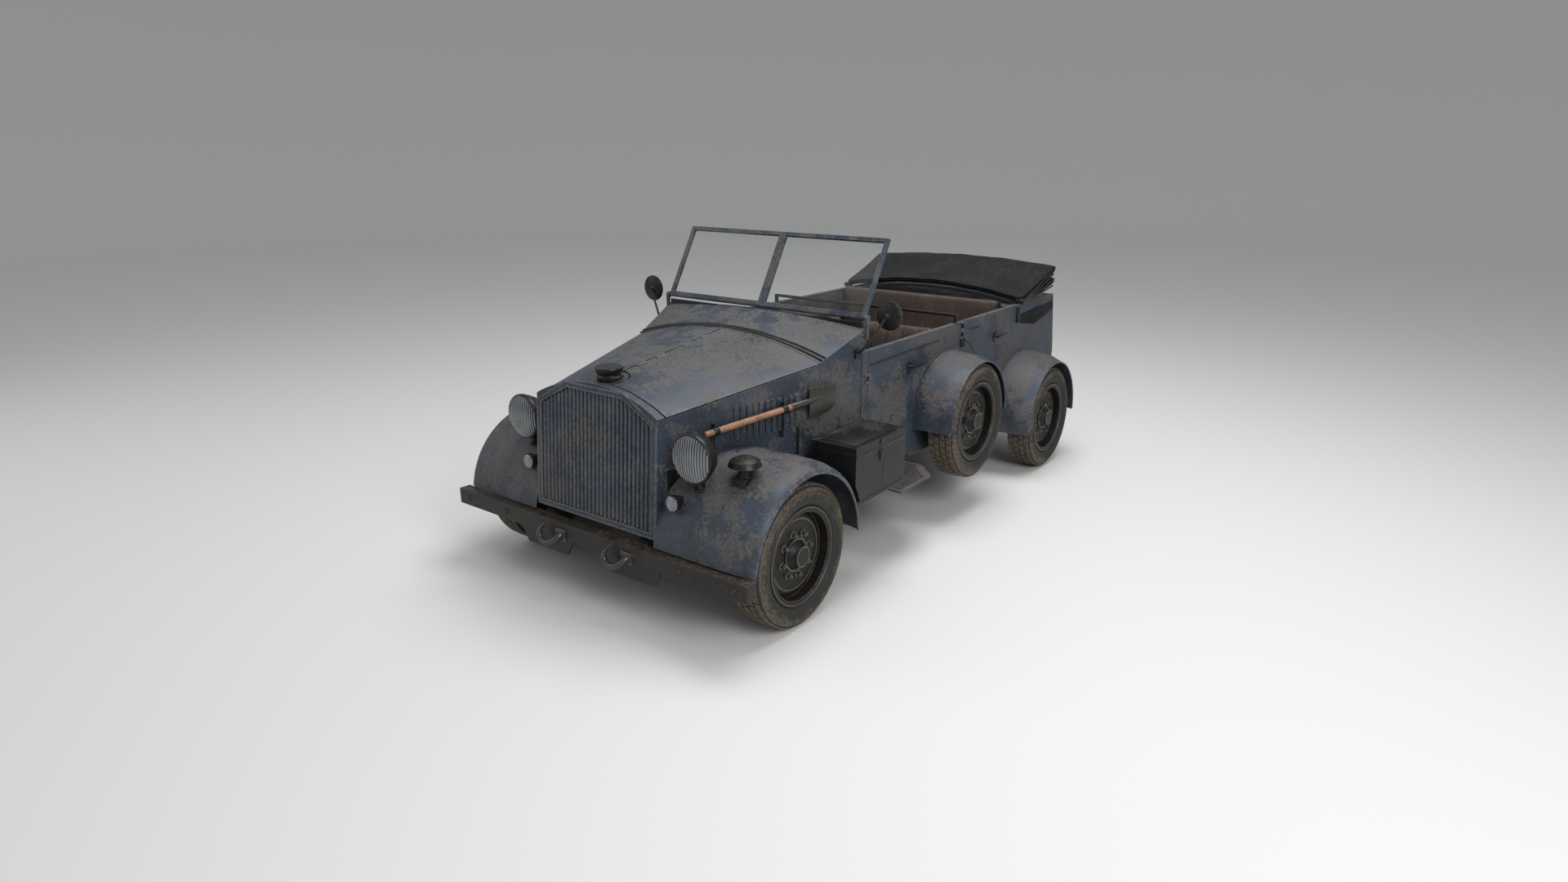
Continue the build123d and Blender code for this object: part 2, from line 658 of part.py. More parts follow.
def make_tow_hooks():
    """Forged horn-shaped hook, its tip turned up, on a plate on each half of the bumper."""
    face = BUMPER_FRONT - SEAT_GAP
    hooks = []
    for x in (HOOK_X, -HOOK_X):
        middles = [Vector(x + across, station(face - ahead), BUMPER_BOTTOM + rise)
                   for across, ahead, rise, _ in HOOK_LINE]
        line = Spline(*middles)
        sections = []
        for middle, row in zip(middles, HOOK_LINE):
            tangent = line.tangent_at(line.param_at_point(middle))
            sections.append(Plane(origin=middle, z_dir=tangent) * Circle(row[3] * HOOK_BAR_RADIUS))
        root = x + HOOK_LINE[0][0]
        plate = block((root - 34, root + 34), (station(face - HOOK_PLATE), station(face)),
                      (BUMPER_BOTTOM - 6, BUMPER_BOTTOM + 54))
        ahead = (station(-FRONT_OVERHANG), station(face))
        horn = loft(sections) & block((x - 2 * HOOK_X, x + 2 * HOOK_X), ahead, (0, SHELL_BOTTOM))
        hooks.append(plate + horn)
    return Compound(hooks)


def shell_face(half, bottom, shoulder, crest):
    """Upright outline with an arched top."""
    arch = ThreePointArc((half, shoulder), (0, crest), (-half, shoulder))
    rest = Polyline((-half, shoulder), (-half, bottom), (half, bottom), (half, shoulder))
    return make_face([*arch.edges(), *rest.edges()])


def raked_slab(front_offset, rear_offset):
    """Slab parallel to the raked grille front, between two offsets behind it."""
    rake = (SHELL_FRONT_HIGH - SHELL_FRONT_LOW) / (SHELL_CREST - SHELL_BOTTOM)
    low, high = SHELL_BOTTOM - 50, SHELL_CREST + 50
    low_y = SHELL_FRONT_LOW - 50 * rake
    high_y = SHELL_FRONT_HIGH + 50 * rake
    outline = [(low_y + front_offset, low), (low_y + rear_offset, low),
               (high_y + rear_offset, high), (high_y + front_offset, high)]
    return side_plate(outline, (-SHELL_HALF_WIDTH, SHELL_HALF_WIDTH))


def grille_opening():
    """Prism of the grille opening: square below, three straight runs at the top."""
    half = SHELL_HALF_WIDTH - SHELL_RIM
    points = [(half, SHELL_BOTTOM + SHELL_RIM), (half, OPENING_SHOULDER), (OPENING_FLAT_HALF, OPENING_TOP),
              (-OPENING_FLAT_HALF, OPENING_TOP), (-half, OPENING_SHOULDER), (-half, SHELL_BOTTOM + SHELL_RIM)]
    face = make_face(Polyline(*points, close=True))
    return extrude(section_plane(SHELL_REAR + 10) * face, 160)


def make_radiator_shell():
    """Hollow radiator surround with a raked front."""
    outer = shell_face(SHELL_HALF_WIDTH, SHELL_BOTTOM, SHELL_SHOULDER, SHELL_CREST)
    shell = extrude(section_plane(SHELL_REAR) * outer, 140)
    shell &= raked_slab(0, 140)
    return shell - grille_opening()


def make_grille_slats():
    """Row of upright slats tied by two cross bars, inside the radiator shell."""
    half = SHELL_HALF_WIDTH - SHELL_RIM
    pitch = 2 * half / SLAT_COUNT
    y_span = (station(SHELL_FRONT_LOW - 20), station(SHELL_REAR))
    slats = []
    for index in range(SLAT_COUNT):
        middle = -half + (index + 0.5) * pitch
        slats.append(block((middle - SLAT_WIDTH / 2, middle + SLAT_WIDTH / 2), y_span,
                           (SHELL_BOTTOM, SHELL_CREST)))
    front = SLAT_SETBACK
    bars = raked_slab(front, front + SLAT_DEPTH) & Compound(slats)
    tie_spans = [(middle - TIE_WIDTH / 2, middle + TIE_WIDTH / 2) for middle in TIE_HEIGHTS]
    ties = Compound([block((-half, half), y_span, span) for span in tie_spans])
    ties &= raked_slab(front + SLAT_DEPTH - 2, front + SLAT_DEPTH + 8)
    return (bars + ties) & grille_opening()


def make_radiator():
    """Radiator core with its header tank and filler neck."""
    half = SHELL_HALF_WIDTH - SHELL_RIM
    core_half = half - CORE_SIDE_GAP
    core = block((-core_half, core_half), (station(SHELL_REAR), station(SHELL_REAR + CORE_DEPTH)),
                 (RAIL_TOP, CORE_TOP))
    hinge_front = hinge_rod_front()
    tank = block((-half + TANK_INSET, half - TANK_INSET), (station(SHELL_REAR), station(hinge_front + 40)),
                 (CORE_TOP, CORE_TOP + TANK_HEIGHT))
    neck = upright(0, CAP_STATION, (CORE_TOP, CAP_BOTTOM), NECK_RADIUS)
    post_top = bonnet_hinge_z(hinge_front) - BONNET_HINGE_RADIUS - SEAT_GAP
    post = upright(0, hinge_front + 12, (CORE_TOP, post_top), BONNET_HINGE_RADIUS)
    return core + tank + neck + post + neck_flange()


def neck_flange():
    """Sloping plate round the filler neck that fills the bonnet's hole under the cap."""
    up = Vector(0, -HINGE_SLOPE, 1).normalized()
    middle = Vector(0, station(CAP_STATION), bonnet_hinge_z(CAP_STATION))
    radius = cap_hole_radius() - MOVING_GAP
    plate = rod(tuple(middle - up * SHEET / 2), tuple(middle + up * SHEET / 2), radius)
    plate -= upright(0, CAP_STATION, (CAP_BOTTOM - SEAT_GAP, 2 * CAP_TOP), CAP_RADIUS + SEAT_GAP)
    behind_shell = (station(SHELL_REAR) + SEAT_GAP, station(CAP_STATION + 2 * radius))
    return plate & block((-radius, radius), behind_shell, (0, 2 * CAP_TOP))


def make_radiator_cap():
    """Wide flat filler cap that draws in below to a lower ring."""
    profile = [
        # radius, height
        (0, CAP_BOTTOM), (CAP_RADIUS - 6, CAP_BOTTOM), (CAP_RADIUS - 6, CAP_BOTTOM + 10),
        (CAP_RADIUS - 13, CAP_BOTTOM + 16), (CAP_RADIUS, CAP_TOP - CAP_EDGE),
        (CAP_RADIUS, CAP_TOP - CAP_EDGE / 2), (CAP_RADIUS - CAP_EDGE / 2, CAP_TOP), (0, CAP_TOP),
    ]
    return upright_turned(profile, 0, CAP_STATION)


# Bonnet and scuttle
def bonnet_size(distance):
    """Half-width, shoulder height and crest height of the bonnet at a station."""
    share = (distance - SHELL_REAR) / (BONNET_REAR - SHELL_REAR)
    return (between(SHELL_HALF_WIDTH, BONNET_REAR_HALF, share),
            between(SHELL_SHOULDER, BONNET_REAR_SHOULDER, share),
            between(SHELL_CREST, BONNET_REAR_CREST, share))


BONNET_LENGTH = BONNET_REAR - SHELL_REAR
HINGE_SLOPE = (BONNET_REAR_CREST - SHELL_CREST) / BONNET_LENGTH
HINGE_DROP = SHEET


def bonnet_hinge_z(distance):
    """Height of the bonnet's hinge line at a station."""
    return bonnet_size(distance)[2] - HINGE_DROP


def cap_hole_radius():
    """Radius of the bonnet's hole, whose edge swings clear of the filler cap's rim."""
    rim_height = CAP_TOP - CAP_EDGE - bonnet_hinge_z(CAP_STATION - CAP_RADIUS)
    return hypot(CAP_RADIUS, rim_height) + MOVING_GAP


def hinge_rod_front():
    """Station of the front end of the bonnet's hinge rod, behind the filler cap."""
    return CAP_STATION + cap_hole_radius() + MOVING_GAP


def arched_half(distance, start_x):
    """Left half of the bonnet's section: a band along an arc, from start_x to the shoulder."""
    half, shoulder, crest = bonnet_size(distance)
    rise = crest - shoulder
    radius = (half ** 2 + rise ** 2) / (2 * rise)
    centre = crest - radius

    def on_arc(x, reach):
        return (x * reach / radius, centre + reach * sqrt(1 - (x / radius) ** 2))

    outer = [on_arc(x, radius) for x in (start_x, half / 2, half)]
    inner = [on_arc(x, radius - SHEET) for x in (half, half / 2, start_x)]
    edges = [ThreePointArc(*outer), Line(outer[2], inner[0]), ThreePointArc(*inner), Line(inner[2], outer[0])]
    return section_plane(distance) * make_face(edges)


def make_bonnet_half(sleeve_stations):
    """Left bonnet top with its hinge sleeves, cut round the filler cap."""
    front = SHELL_REAR + MOVING_GAP
    rear = BONNET_REAR - MOVING_GAP
    edge = BONNET_SLEEVE_RADIUS + MOVING_GAP - 1
    top = loft([arched_half(front, edge), arched_half(rear, edge)], ruled=True)
    top -= upright(0, CAP_STATION, (0, 2 * CAP_TOP), cap_hole_radius())
    for low, high in sleeve_stations:
        start = (0, station(low), bonnet_hinge_z(low))
        end = (0, station(high), bonnet_hinge_z(high))
        sleeve = rod(start, end, BONNET_SLEEVE_RADIUS)
        line = Vector(*end) - Vector(*start)
        frame = Plane(origin=start, x_dir=(1, 0, 0), z_dir=line)
        tab = Pos(15, -3, line.length / 2) * Box(30, 4, line.length)
        sleeve += frame * tab
        sleeve -= rod((0, station(low - 50), bonnet_hinge_z(low - 50)),
                      (0, station(high + 50), bonnet_hinge_z(high + 50)), BONNET_HINGE_RADIUS + RUNNING_FIT)
        top += sleeve
    return top


def side_frame():
    """Plane of the left bonnet side: local X runs rearwards along it, Y up, Z outwards."""
    run = Vector(BONNET_REAR_HALF - SHELL_HALF_WIDTH, BONNET_LENGTH, 0)
    normal = Vector(run.Y, -run.X, 0)
    return Plane(origin=(SHELL_HALF_WIDTH, station(SHELL_REAR), 0), x_dir=run, z_dir=normal)


SIDE_RUN = hypot(BONNET_REAR_HALF - SHELL_HALF_WIDTH, BONNET_LENGTH)
SIDE_STRETCH = SIDE_RUN / BONNET_LENGTH


def along_side(distance):
    """Distance along the bonnet side from its front edge to a station."""
    return (distance - SHELL_REAR) * SIDE_STRETCH


# Lower edge of the bonnet side behind the wheel, in shares of the front mudguard's radius from the axle
BONNET_SKIRT = [(0.34, 0.90), (0.72, 0.62), (0.95, 0.31)]


def make_bonnet_sides():
    """Bonnet side panels with a row of raised louvres, carried down behind the mudguard."""
    drop = SHEET + SEAT_GAP + 2
    end = SIDE_RUN - SHEET
    skirt = [(along_side(share * FRONT_CROWN_RADIUS), AXLE_Z + rise * FRONT_CROWN_RADIUS)
             for share, rise in BONNET_SKIRT]
    outline = [(0, BONNET_SIDE_BOTTOM), *skirt, (end, skirt[-1][1]),
               (end, BONNET_REAR_SHOULDER - drop), (0, SHELL_SHOULDER - drop)]
    plane = side_frame()
    panel = extrude(plane * make_face(Polyline(*outline, close=True)), -SHEET)
    height = LOUVRE_TOP - LOUVRE_BOTTOM
    for index in range(LOUVRE_COUNT):
        middle = along_side(LOUVRE_FIRST + index * LOUVRE_PITCH)
        place = plane * Pos(middle, (LOUVRE_TOP + LOUVRE_BOTTOM) / 2, 0)
        panel += extrude(place * SlotOverall(height, LOUVRE_WIDTH, rotation=90), LOUVRE_RAISE)
    return Compound(both_sides(panel))


def scuttle_section(half, shoulder, crest, bottom, distance):
    """Full section of the scuttle: upright sides under an arched top."""
    return section_plane(distance) * shell_face(half, bottom, shoulder, crest)


def make_scuttle():
    """Scuttle shell with its bulkhead, windscreen brackets and the bonnet's hinge rod."""
    bottom = RAIL_TOP
    rear_half = BODY_HALF - 1
    outer = loft([
        scuttle_section(BONNET_REAR_HALF, BONNET_REAR_SHOULDER, BONNET_REAR_CREST, bottom, BONNET_REAR),
        scuttle_section(rear_half, SCUTTLE_REAR_SHOULDER, SCUTTLE_REAR_CREST, bottom, SCUTTLE_REAR),
    ], ruled=True)
    inner = loft([
        scuttle_section(BONNET_REAR_HALF - SHEET, BONNET_REAR_SHOULDER - SHEET, BONNET_REAR_CREST - SHEET,
                        bottom - 50, BONNET_REAR - 1),
        scuttle_section(rear_half - SHEET, SCUTTLE_REAR_SHOULDER - SHEET, SCUTTLE_REAR_CREST - SHEET,
                        bottom - 50, SCUTTLE_REAR + 1),
    ], ruled=True)
    bulkhead_span = (station(BULKHEAD_STATION), station(BULKHEAD_STATION + BULKHEAD_THICKNESS))
    bulkhead = outer & block((-BODY_HALF, BODY_HALF), bulkhead_span, (bottom, SCUTTLE_REAR_CREST))
    shell = outer - inner
    shell -= block((-BODY_HALF, BODY_HALF), (station(BODY_FRONT), station(SCUTTLE_REAR + 5)), (0, BODY_TOP))
    shell += bulkhead
    front = hinge_rod_front()
    shell += rod((0, station(front), bonnet_hinge_z(front)),
                 (0, station(BULKHEAD_STATION), bonnet_hinge_z(BULKHEAD_STATION)), BONNET_HINGE_RADIUS)
    span = (SCREEN_HALF + 6, SCREEN_HALF + 22)
    eye = SCREEN_EYE_RADIUS
    bracket = block(span, (station(SCREEN_FOOT_STATION - eye), station(SCUTTLE_REAR)),
                    (SCUTTLE_REAR_SHOULDER - 60, SCREEN_FOOT_Z))
    bracket += cross_rod(span, SCREEN_FOOT_STATION, SCREEN_FOOT_Z, eye)
    bracket -= cross_rod((SCREEN_HALF, SCREEN_HALF + 40), SCREEN_FOOT_STATION, SCREEN_FOOT_Z,
                         SCREEN_PIN_RADIUS + RUNNING_FIT)
    return shell + bracket + other_side(bracket)


# Body tub
def circle_cut(distance, height, radius):
    """Wide cylinder along X for cutting body panels round a wheel."""
    return cross_rod((-2 * BODY_HALF, 2 * BODY_HALF), distance, height, radius)


def front_door_form(gap):
    """Left front door, smaller all round by a gap."""
    door = side_plate([
        (FRONT_DOOR_FRONT + gap, DOOR_BOTTOM + gap), (FRONT_DOOR_REAR - gap, DOOR_BOTTOM + gap),
        (FRONT_DOOR_REAR - gap, BODY_TOP), (FRONT_DOOR_FRONT + gap, BODY_TOP),
    ], (BODY_HALF - BODY_WALL, BODY_HALF))
    return door - circle_cut(SPARE_STATION, SPARE_Z, SPARE_CUT_FRONT + gap)


def rear_door_form(gap):
    """Left rear door, smaller all round by a gap."""
    door = side_plate([
        (REAR_DOOR_FRONT + gap, DOOR_BOTTOM + gap), (REAR_DOOR_REAR - gap, DOOR_BOTTOM + gap),
        (REAR_DOOR_REAR - gap, BODY_TOP), (REAR_DOOR_FRONT + gap, BODY_TOP),
    ], (BODY_HALF - BODY_WALL, BODY_HALF))
    door -= circle_cut(SPARE_STATION, SPARE_Z, SPARE_CUT_REAR + gap)
    return door - circle_cut(WHEELBASE, AXLE_Z, REAR_CUT + gap)


HINGE_X = BODY_HALF + HINGE_STANDOFF
DOOR_FITTINGS = {
    # door: hinge station, hinge heights, handle station
    "front": (FRONT_DOOR_FRONT, (700.0, 1010.0), FRONT_DOOR_REAR - 372.0),
    "rear": (REAR_DOOR_FRONT, (1082.0, 1134.0), REAR_DOOR_REAR - 275.0),
}


def hinge_leaf(distance, height):
    """Sleeve and leaf of one door hinge, for a left door."""
    half = HINGE_HEIGHT / 2
    sleeve = upright(HINGE_X, distance, (height - half, height + half), HINGE_SLEEVE_RADIUS)
    leaf = block((BODY_HALF, HINGE_X - 2), (station(distance), station(distance + HINGE_LEAF_LENGTH)),
                 (height - half, height + half))
    pin_hole = upright(HINGE_X, distance, (height - 100, height + 100), HINGE_PIN_RADIUS + RUNNING_FIT)
    return sleeve + leaf - pin_hole


def hinge_lug(distance, height):
    """Fixed pin with a lug at each end, on the left body side."""
    inner = HINGE_HEIGHT / 2 + HINGE_AXIAL_GAP
    outer = inner + HINGE_LUG_HEIGHT
    lug = upright(HINGE_X, distance, (height - outer, height + outer), HINGE_PIN_RADIUS)
    for low, high in ((inner, outer), (-outer, -inner)):
        lug += upright(HINGE_X, distance, (height + low, height + high), HINGE_SLEEVE_RADIUS - 1)
        lug += block((BODY_HALF, HINGE_X + 4), (station(distance - HINGE_LUG_LENGTH), station(distance)),
                     (height + low, height + high))
    return lug


def door_handle(distance):
    """Lever handle of a left door, on a round boss at a station."""
    outer = BODY_HALF + HANDLE_REACH
    half = HANDLE_WIDTH / 2
    boss = cross_rod((BODY_HALF - 2, outer), distance, HANDLE_Z, half)
    lever_span = (station(distance - half), station(distance + HANDLE_LENGTH))
    lever = block((outer - HANDLE_THICKNESS, outer), lever_span, (HANDLE_Z - half, HANDLE_Z + half))
    return boss + lever


def make_door(form, fittings):
    """Left door with its hinge leaves and handle."""
    door = form(MOVING_GAP)
    distance, heights, handle = fittings
    for height in heights:
        door += hinge_leaf(distance, height)
    return door + door_handle(handle)


def make_body_sides():
    """Fixed body sides: pillars, sills and rear quarters, with the doors' hinge lugs."""
    side = side_plate([
        (BODY_FRONT, SILL_BOTTOM), (TAIL_LOW, SILL_BOTTOM), (TAIL_WAIST, TAIL_WAIST_Z), (TAIL_TOP, BODY_TOP),
        (BODY_FRONT, BODY_TOP),
    ], (BODY_HALF - BODY_WALL, BODY_HALF))
    side -= front_door_form(0)
    side -= rear_door_form(0)
    side -= circle_cut(WHEELBASE, AXLE_Z, AXLE_TUBE_RADIUS + 90)
    for distance, heights, _ in DOOR_FITTINGS.values():
        for height in heights:
            side += hinge_lug(distance, height)
    return Compound(both_sides(side))


LEVERS = [
    # x at the foot, lean across, height of the knob
    (20.0, 0.0, 830.0),
    (84.0, 8.0, 760.0),
]


def make_controls():
    """Three pedals on bent arms, and the gear and hand levers, all standing on the floor."""
    floor = FLOOR_BOTTOM + FLOOR_THICKNESS / 2
    controls = []
    for index in (-1, 0, 1):
        x = STEERING_X + index * PEDAL_PITCH
        pad = Vector(x, station(PEDAL_STATION), PEDAL_Z)
        foot = (x, station(PEDAL_STATION - 45), floor)
        half = PEDAL_WIDTH / 2
        plate = block((x - half, x + half), (pad.Y - 6, pad.Y + 6), (PEDAL_Z - 35, PEDAL_Z + 35))
        controls.append(rod(foot, tuple(pad), LEVER_RADIUS) + plate)
    for x, lean, height in LEVERS:
        knob = (x + lean, station(LEVER_STATION + 40), height)
        lever = rod((x, station(LEVER_STATION), floor), knob, LEVER_RADIUS)
        controls.append(lever + Pos(*knob) * Sphere(KNOB_RADIUS))
    return controls


def make_floor():
    """Floor pan between the body sides, with the pedals and levers."""
    half = BODY_HALF - BODY_WALL
    y_span = (station(BULKHEAD_STATION + BULKHEAD_THICKNESS), station(TAIL_LOW - TAIL_WALL))
    pan = block((-half, half), y_span, (FLOOR_BOTTOM, FLOOR_BOTTOM + FLOOR_THICKNESS))
    pan -= scuttle_floor_trim()
    for control in make_controls():
        pan += control
    return pan


def scuttle_floor_trim():
    """Room for the scuttle's sides where the floor runs between them."""
    cut = []
    for side in (-1, 1):
        spans = sorted((side * (BONNET_REAR_HALF - 2 * SHEET), side * BODY_HALF))
        cut.append(block(spans, (station(BULKHEAD_STATION), station(BODY_FRONT)), (0, BODY_TOP)))
    return Compound(cut)


def make_tail():
    """Tail panel with the deck behind the rear seat."""
    half = BODY_HALF - BODY_WALL
    outer = [(TAIL_LOW, SILL_BOTTOM), (TAIL_WAIST, TAIL_WAIST_Z), (TAIL_TOP, BODY_TOP)]
    inner = [(distance - TAIL_WALL, height) for distance, height in reversed(outer)]
    wall = side_plate(outer + inner, (-half, half))
    deck_top = BODY_TOP - DECK_DROP
    deck = block((-half, half), (station(DECK_FRONT), station(TAIL_TOP - TAIL_WALL / 2)),
                 (deck_top - DECK_THICKNESS, deck_top))
    return wall + deck


# Mudguards, toolboxes and steps
def make_front_mudguards():
    """Front mudguards, rolled over at the lip and trimmed to the radiator shell and bonnet side."""
    roll = FRONT_LIP_X - FRONT_ROLL_X
    drop = FRONT_CROWN_RADIUS - FRONT_LIP_RADIUS
    profile = [(SHELL_HALF_WIDTH, FRONT_CROWN_RADIUS)]
    for turn in (0, 25, 50, 70, 90):
        profile.append((FRONT_ROLL_X + roll * sin(radians(turn)),
                        FRONT_LIP_RADIUS + drop * cos(radians(turn))))
    guard = guard_shell(profile, 0.0, AXLE_Z, FRONT_GUARD_REAR_ANGLE, FRONT_GUARD_FRONT_ANGLE)
    front_half = SHELL_HALF_WIDTH + SEAT_GAP
    rear_half = BONNET_REAR_HALF + SEAT_GAP
    ahead = station(-2 * FRONT_CROWN_RADIUS)
    trim = make_face(Polyline(
        (0, ahead), (front_half, ahead), (front_half, station(SHELL_REAR)),
        (rear_half, station(BONNET_REAR)), (0, station(BONNET_REAR)), close=True))
    return Compound(both_sides(guard - extrude(trim, 2 * BODY_TOP)))


def make_spare_mudguards():
    """Mudguards over the raised spare wheels, against the body sides."""
    profile = [(BODY_HALF, SPARE_CROWN_RADIUS), (SPARE_ROLL_X, SPARE_ROLL_RADIUS),
               (SPARE_LIP_X, SPARE_LIP_RADIUS)]
    return Compound(both_sides(guard_shell(profile, SPARE_STATION, SPARE_Z, 0.0, 179.0)))


def make_rear_mudguards():
    """Rear mudguards against the body sides."""
    profile = [(BODY_HALF, REAR_CROWN_RADIUS), (REAR_ROLL_X, REAR_ROLL_RADIUS), (REAR_LIP_X, REAR_LIP_RADIUS)]
    return Compound(both_sides(guard_shell(profile, WHEELBASE, AXLE_Z, -3.0, 184.0)))


def make_spare_axles():
    """Flanged stub axle for the spare wheel on each body side."""
    flange = cross_rod((BODY_HALF, BODY_HALF + 14), SPARE_STATION, SPARE_Z, 110)
    stub = cross_rod((BODY_HALF, SPARE_X + SPINDLE_REACH), SPARE_STATION, SPARE_Z, SPINDLE_RADIUS)
    collar = cross_rod((BODY_HALF, SPARE_X - 60), SPARE_STATION, SPARE_Z, 46)
    return Compound(both_sides(flange + stub + collar))


LID_HINGE_X = BODY_HALF + 12
LID_AXIS_Z = TOOLBOX_TOP - LID_AXIS_DROP


def make_toolbox():
    """Left toolbox, open at the top, its front corner cut round the mudguard, with the lid's pins."""
    top = TOOLBOX_TOP - LID_THICKNESS - SEAT_GAP
    y_span = (station(TOOLBOX_FRONT), station(TOOLBOX_REAR))
    spans = ((BODY_HALF, TOOLBOX_OUTER), y_span, (TOOLBOX_BOTTOM, top))
    guard = FRONT_CROWN_RADIUS + 10
    wall = TOOLBOX_WALL
    outer = block(*spans) - cross_rod((0, FRONT_LIP_X), 0, AXLE_Z, guard)
    inner = block(*[(low + wall, high - wall) for low, high in spans[:2]], (TOOLBOX_BOTTOM + wall, top + 1))
    inner -= cross_rod((0, FRONT_LIP_X), 0, AXLE_Z, guard + wall)
    box = outer - inner
    for end, inward in ((TOOLBOX_FRONT, 1), (TOOLBOX_REAR, -1)):
        lug = sorted((station(end), station(end + inward * LID_LUG)))
        box += block((BODY_HALF, LID_HINGE_X + LID_LUG / 2), lug, (top - 20, TOOLBOX_TOP))
        tip = end + inward * (LID_LUG + LID_PIN_REACH)
        box += rod((LID_HINGE_X, station(end), LID_AXIS_Z), (LID_HINGE_X, station(tip), LID_AXIS_Z),
                   LID_PIN_RADIUS)
    return box


def make_toolbox_lid():
    """Left toolbox lid, hung on a sleeve along its inner edge."""
    low = station(TOOLBOX_FRONT + LID_LUG + LID_AXIAL_GAP)
    high = station(TOOLBOX_REAR - LID_LUG - LID_AXIAL_GAP)
    web = LID_HINGE_X + 16
    lid = block((web, TOOLBOX_OUTER), (station(TOOLBOX_FRONT), station(TOOLBOX_REAR)),
                (TOOLBOX_TOP - LID_THICKNESS, TOOLBOX_TOP))
    lid += block((LID_HINGE_X, web + 4), (low, high), (LID_AXIS_Z - LID_WEB / 2, LID_AXIS_Z + LID_WEB / 2))
    lid += rod((LID_HINGE_X, low, LID_AXIS_Z), (LID_HINGE_X, high, LID_AXIS_Z), LID_SLEEVE_RADIUS)
    return lid - rod((LID_HINGE_X, low - LID_LUG, LID_AXIS_Z), (LID_HINGE_X, high + LID_LUG, LID_AXIS_Z),
                     LID_PIN_RADIUS + RUNNING_FIT)


def make_step_plates():
    """Step plate below each front door, its outer rear corner clipped, on a bracket to the rail."""
    inner = BODY_HALF - STEP_TUCK
    outline = [(inner, STEP_FRONT), (STEP_OUTER, STEP_FRONT), (STEP_OUTER, STEP_REAR - STEP_CLIP),
               (STEP_OUTER - STEP_CLIP, STEP_REAR), (inner, STEP_REAR)]
    points = [(x, station(distance)) for x, distance in outline]
    plate = extrude(Plane.XY.offset(STEP_TOP - STEP_THICKNESS) * make_face(Polyline(*points, close=True)),
                    STEP_THICKNESS)
    for distance in (STEP_FRONT + 60, STEP_REAR - 100):
        middle = station(distance)
        plate += block((RAIL_X + RAIL_WIDTH / 2, BODY_HALF), (middle - 20, middle + 20),
                       (STEP_TOP - STEP_THICKNESS, STEP_TOP))
    return Compound(both_sides(plate))


# Windscreen
def screen_frame():
    """Plane of the windscreen: local X across the car, Y up along the glass, Z its normal."""
    rise = Vector(0, SCREEN_TOP_STATION - SCREEN_FOOT_STATION, SCREEN_TOP_Z - SCREEN_FOOT_Z)
    normal = Vector(1, 0, 0).cross(rise)
    return Plane(origin=(0, station(SCREEN_FOOT_STATION), SCREEN_FOOT_Z), x_dir=(1, 0, 0), z_dir=normal)


SCREEN_HEIGHT = hypot(SCREEN_TOP_STATION - SCREEN_FOOT_STATION, SCREEN_TOP_Z - SCREEN_FOOT_Z)


def make_windscreen_frame():
    """Two-pane windscreen frame with a pivot pin at each lower corner."""
    bar = SCREEN_BAR
    height = SCREEN_HEIGHT
    outer = Pos(0, height / 2, 0) * Box(2 * SCREEN_HALF, height, bar)
    pane_half = (SCREEN_HALF - bar - SCREEN_CENTRE_BAR / 2) / 2
    pane_x = SCREEN_CENTRE_BAR / 2 + pane_half
    for side in (-1, 1):
        outer -= Pos(side * pane_x, height / 2, 0) * Box(2 * pane_half, height - 2 * bar, 2 * bar)
    tube = Rot(Y=90) * Cylinder(bar / 2, 2 * SCREEN_HALF)
    pins = Rot(Y=90) * Cylinder(SCREEN_PIN_RADIUS, 2 * (SCREEN_HALF + 21))
    return screen_frame() * (outer + tube + pins)


def make_windscreen_glass():
    """Two flat panes inside the windscreen frame."""
    bar = SCREEN_BAR
    pane_half = (SCREEN_HALF - bar - SCREEN_CENTRE_BAR / 2) / 2
    pane_x = SCREEN_CENTRE_BAR / 2 + pane_half
    panes = []
    for side in (-1, 1):
        pane = Pos(side * pane_x, SCREEN_HEIGHT / 2, 0)
        panes.append(screen_frame() * pane * Box(2 * pane_half, SCREEN_HEIGHT - 2 * bar, GLASS_THICKNESS))
    return Compound(panes)


# Lamps and mirrors
def lamp_turned(profile, x, front, height):
    """Solid of revolution about a fore-and-aft axis, from (distance behind the front, radius) points."""
    face = make_face(Polyline(*profile, close=True))
    shape = revolve(Plane.XY * face, Axis.X)
    return Pos(x, station(front), height) * Rot(Z=90) * shape


def front_guard_solid():
    """Everything inside the front mudguards' outer face."""
    return cross_rod((-BUMPER_HALF_WIDTH, BUMPER_HALF_WIDTH), 0, AXLE_Z, FRONT_CROWN_RADIUS)


def make_lamp_housings():
    """Headlamp bowls on posts, side lamps, and the hooded lamp on the left mudguard."""
    radius, depth = HEADLAMP_RADIUS, HEADLAMP_DEPTH
    bowl = lamp_turned([(0, radius), (14, radius + 2), (50, radius - 8), (depth * 0.7, radius * 0.62),
                        (depth, radius * 0.2), (depth, 0), (18, 0), (18, radius - 8), (0, radius - 8)],
                       HEADLAMP_X, HEADLAMP_FRONT, HEADLAMP_Z)
    post = upright(HEADLAMP_X, HEADLAMP_FRONT + 62, (AXLE_Z, HEADLAMP_Z - radius * 0.6), 20)
    small = SIDE_LAMP_RADIUS
    side = lamp_turned([(0, small), (16, small), (70, small * 0.5), (70, 0), (8, 0), (8, small - 5),
                        (0, small - 5)], SIDE_LAMP_X, SIDE_LAMP_FRONT, SIDE_LAMP_Z)
    side += rod((SIDE_LAMP_X, station(SIDE_LAMP_FRONT + 30), SIDE_LAMP_Z),
                (SIDE_LAMP_X, station(SIDE_LAMP_FRONT + 90), SIDE_LAMP_Z - 60), 12)
    housings = both_sides((bowl + post) - front_guard_solid()) + both_sides(side - front_guard_solid())
    return Compound(housings + [make_hooded_lamp()])


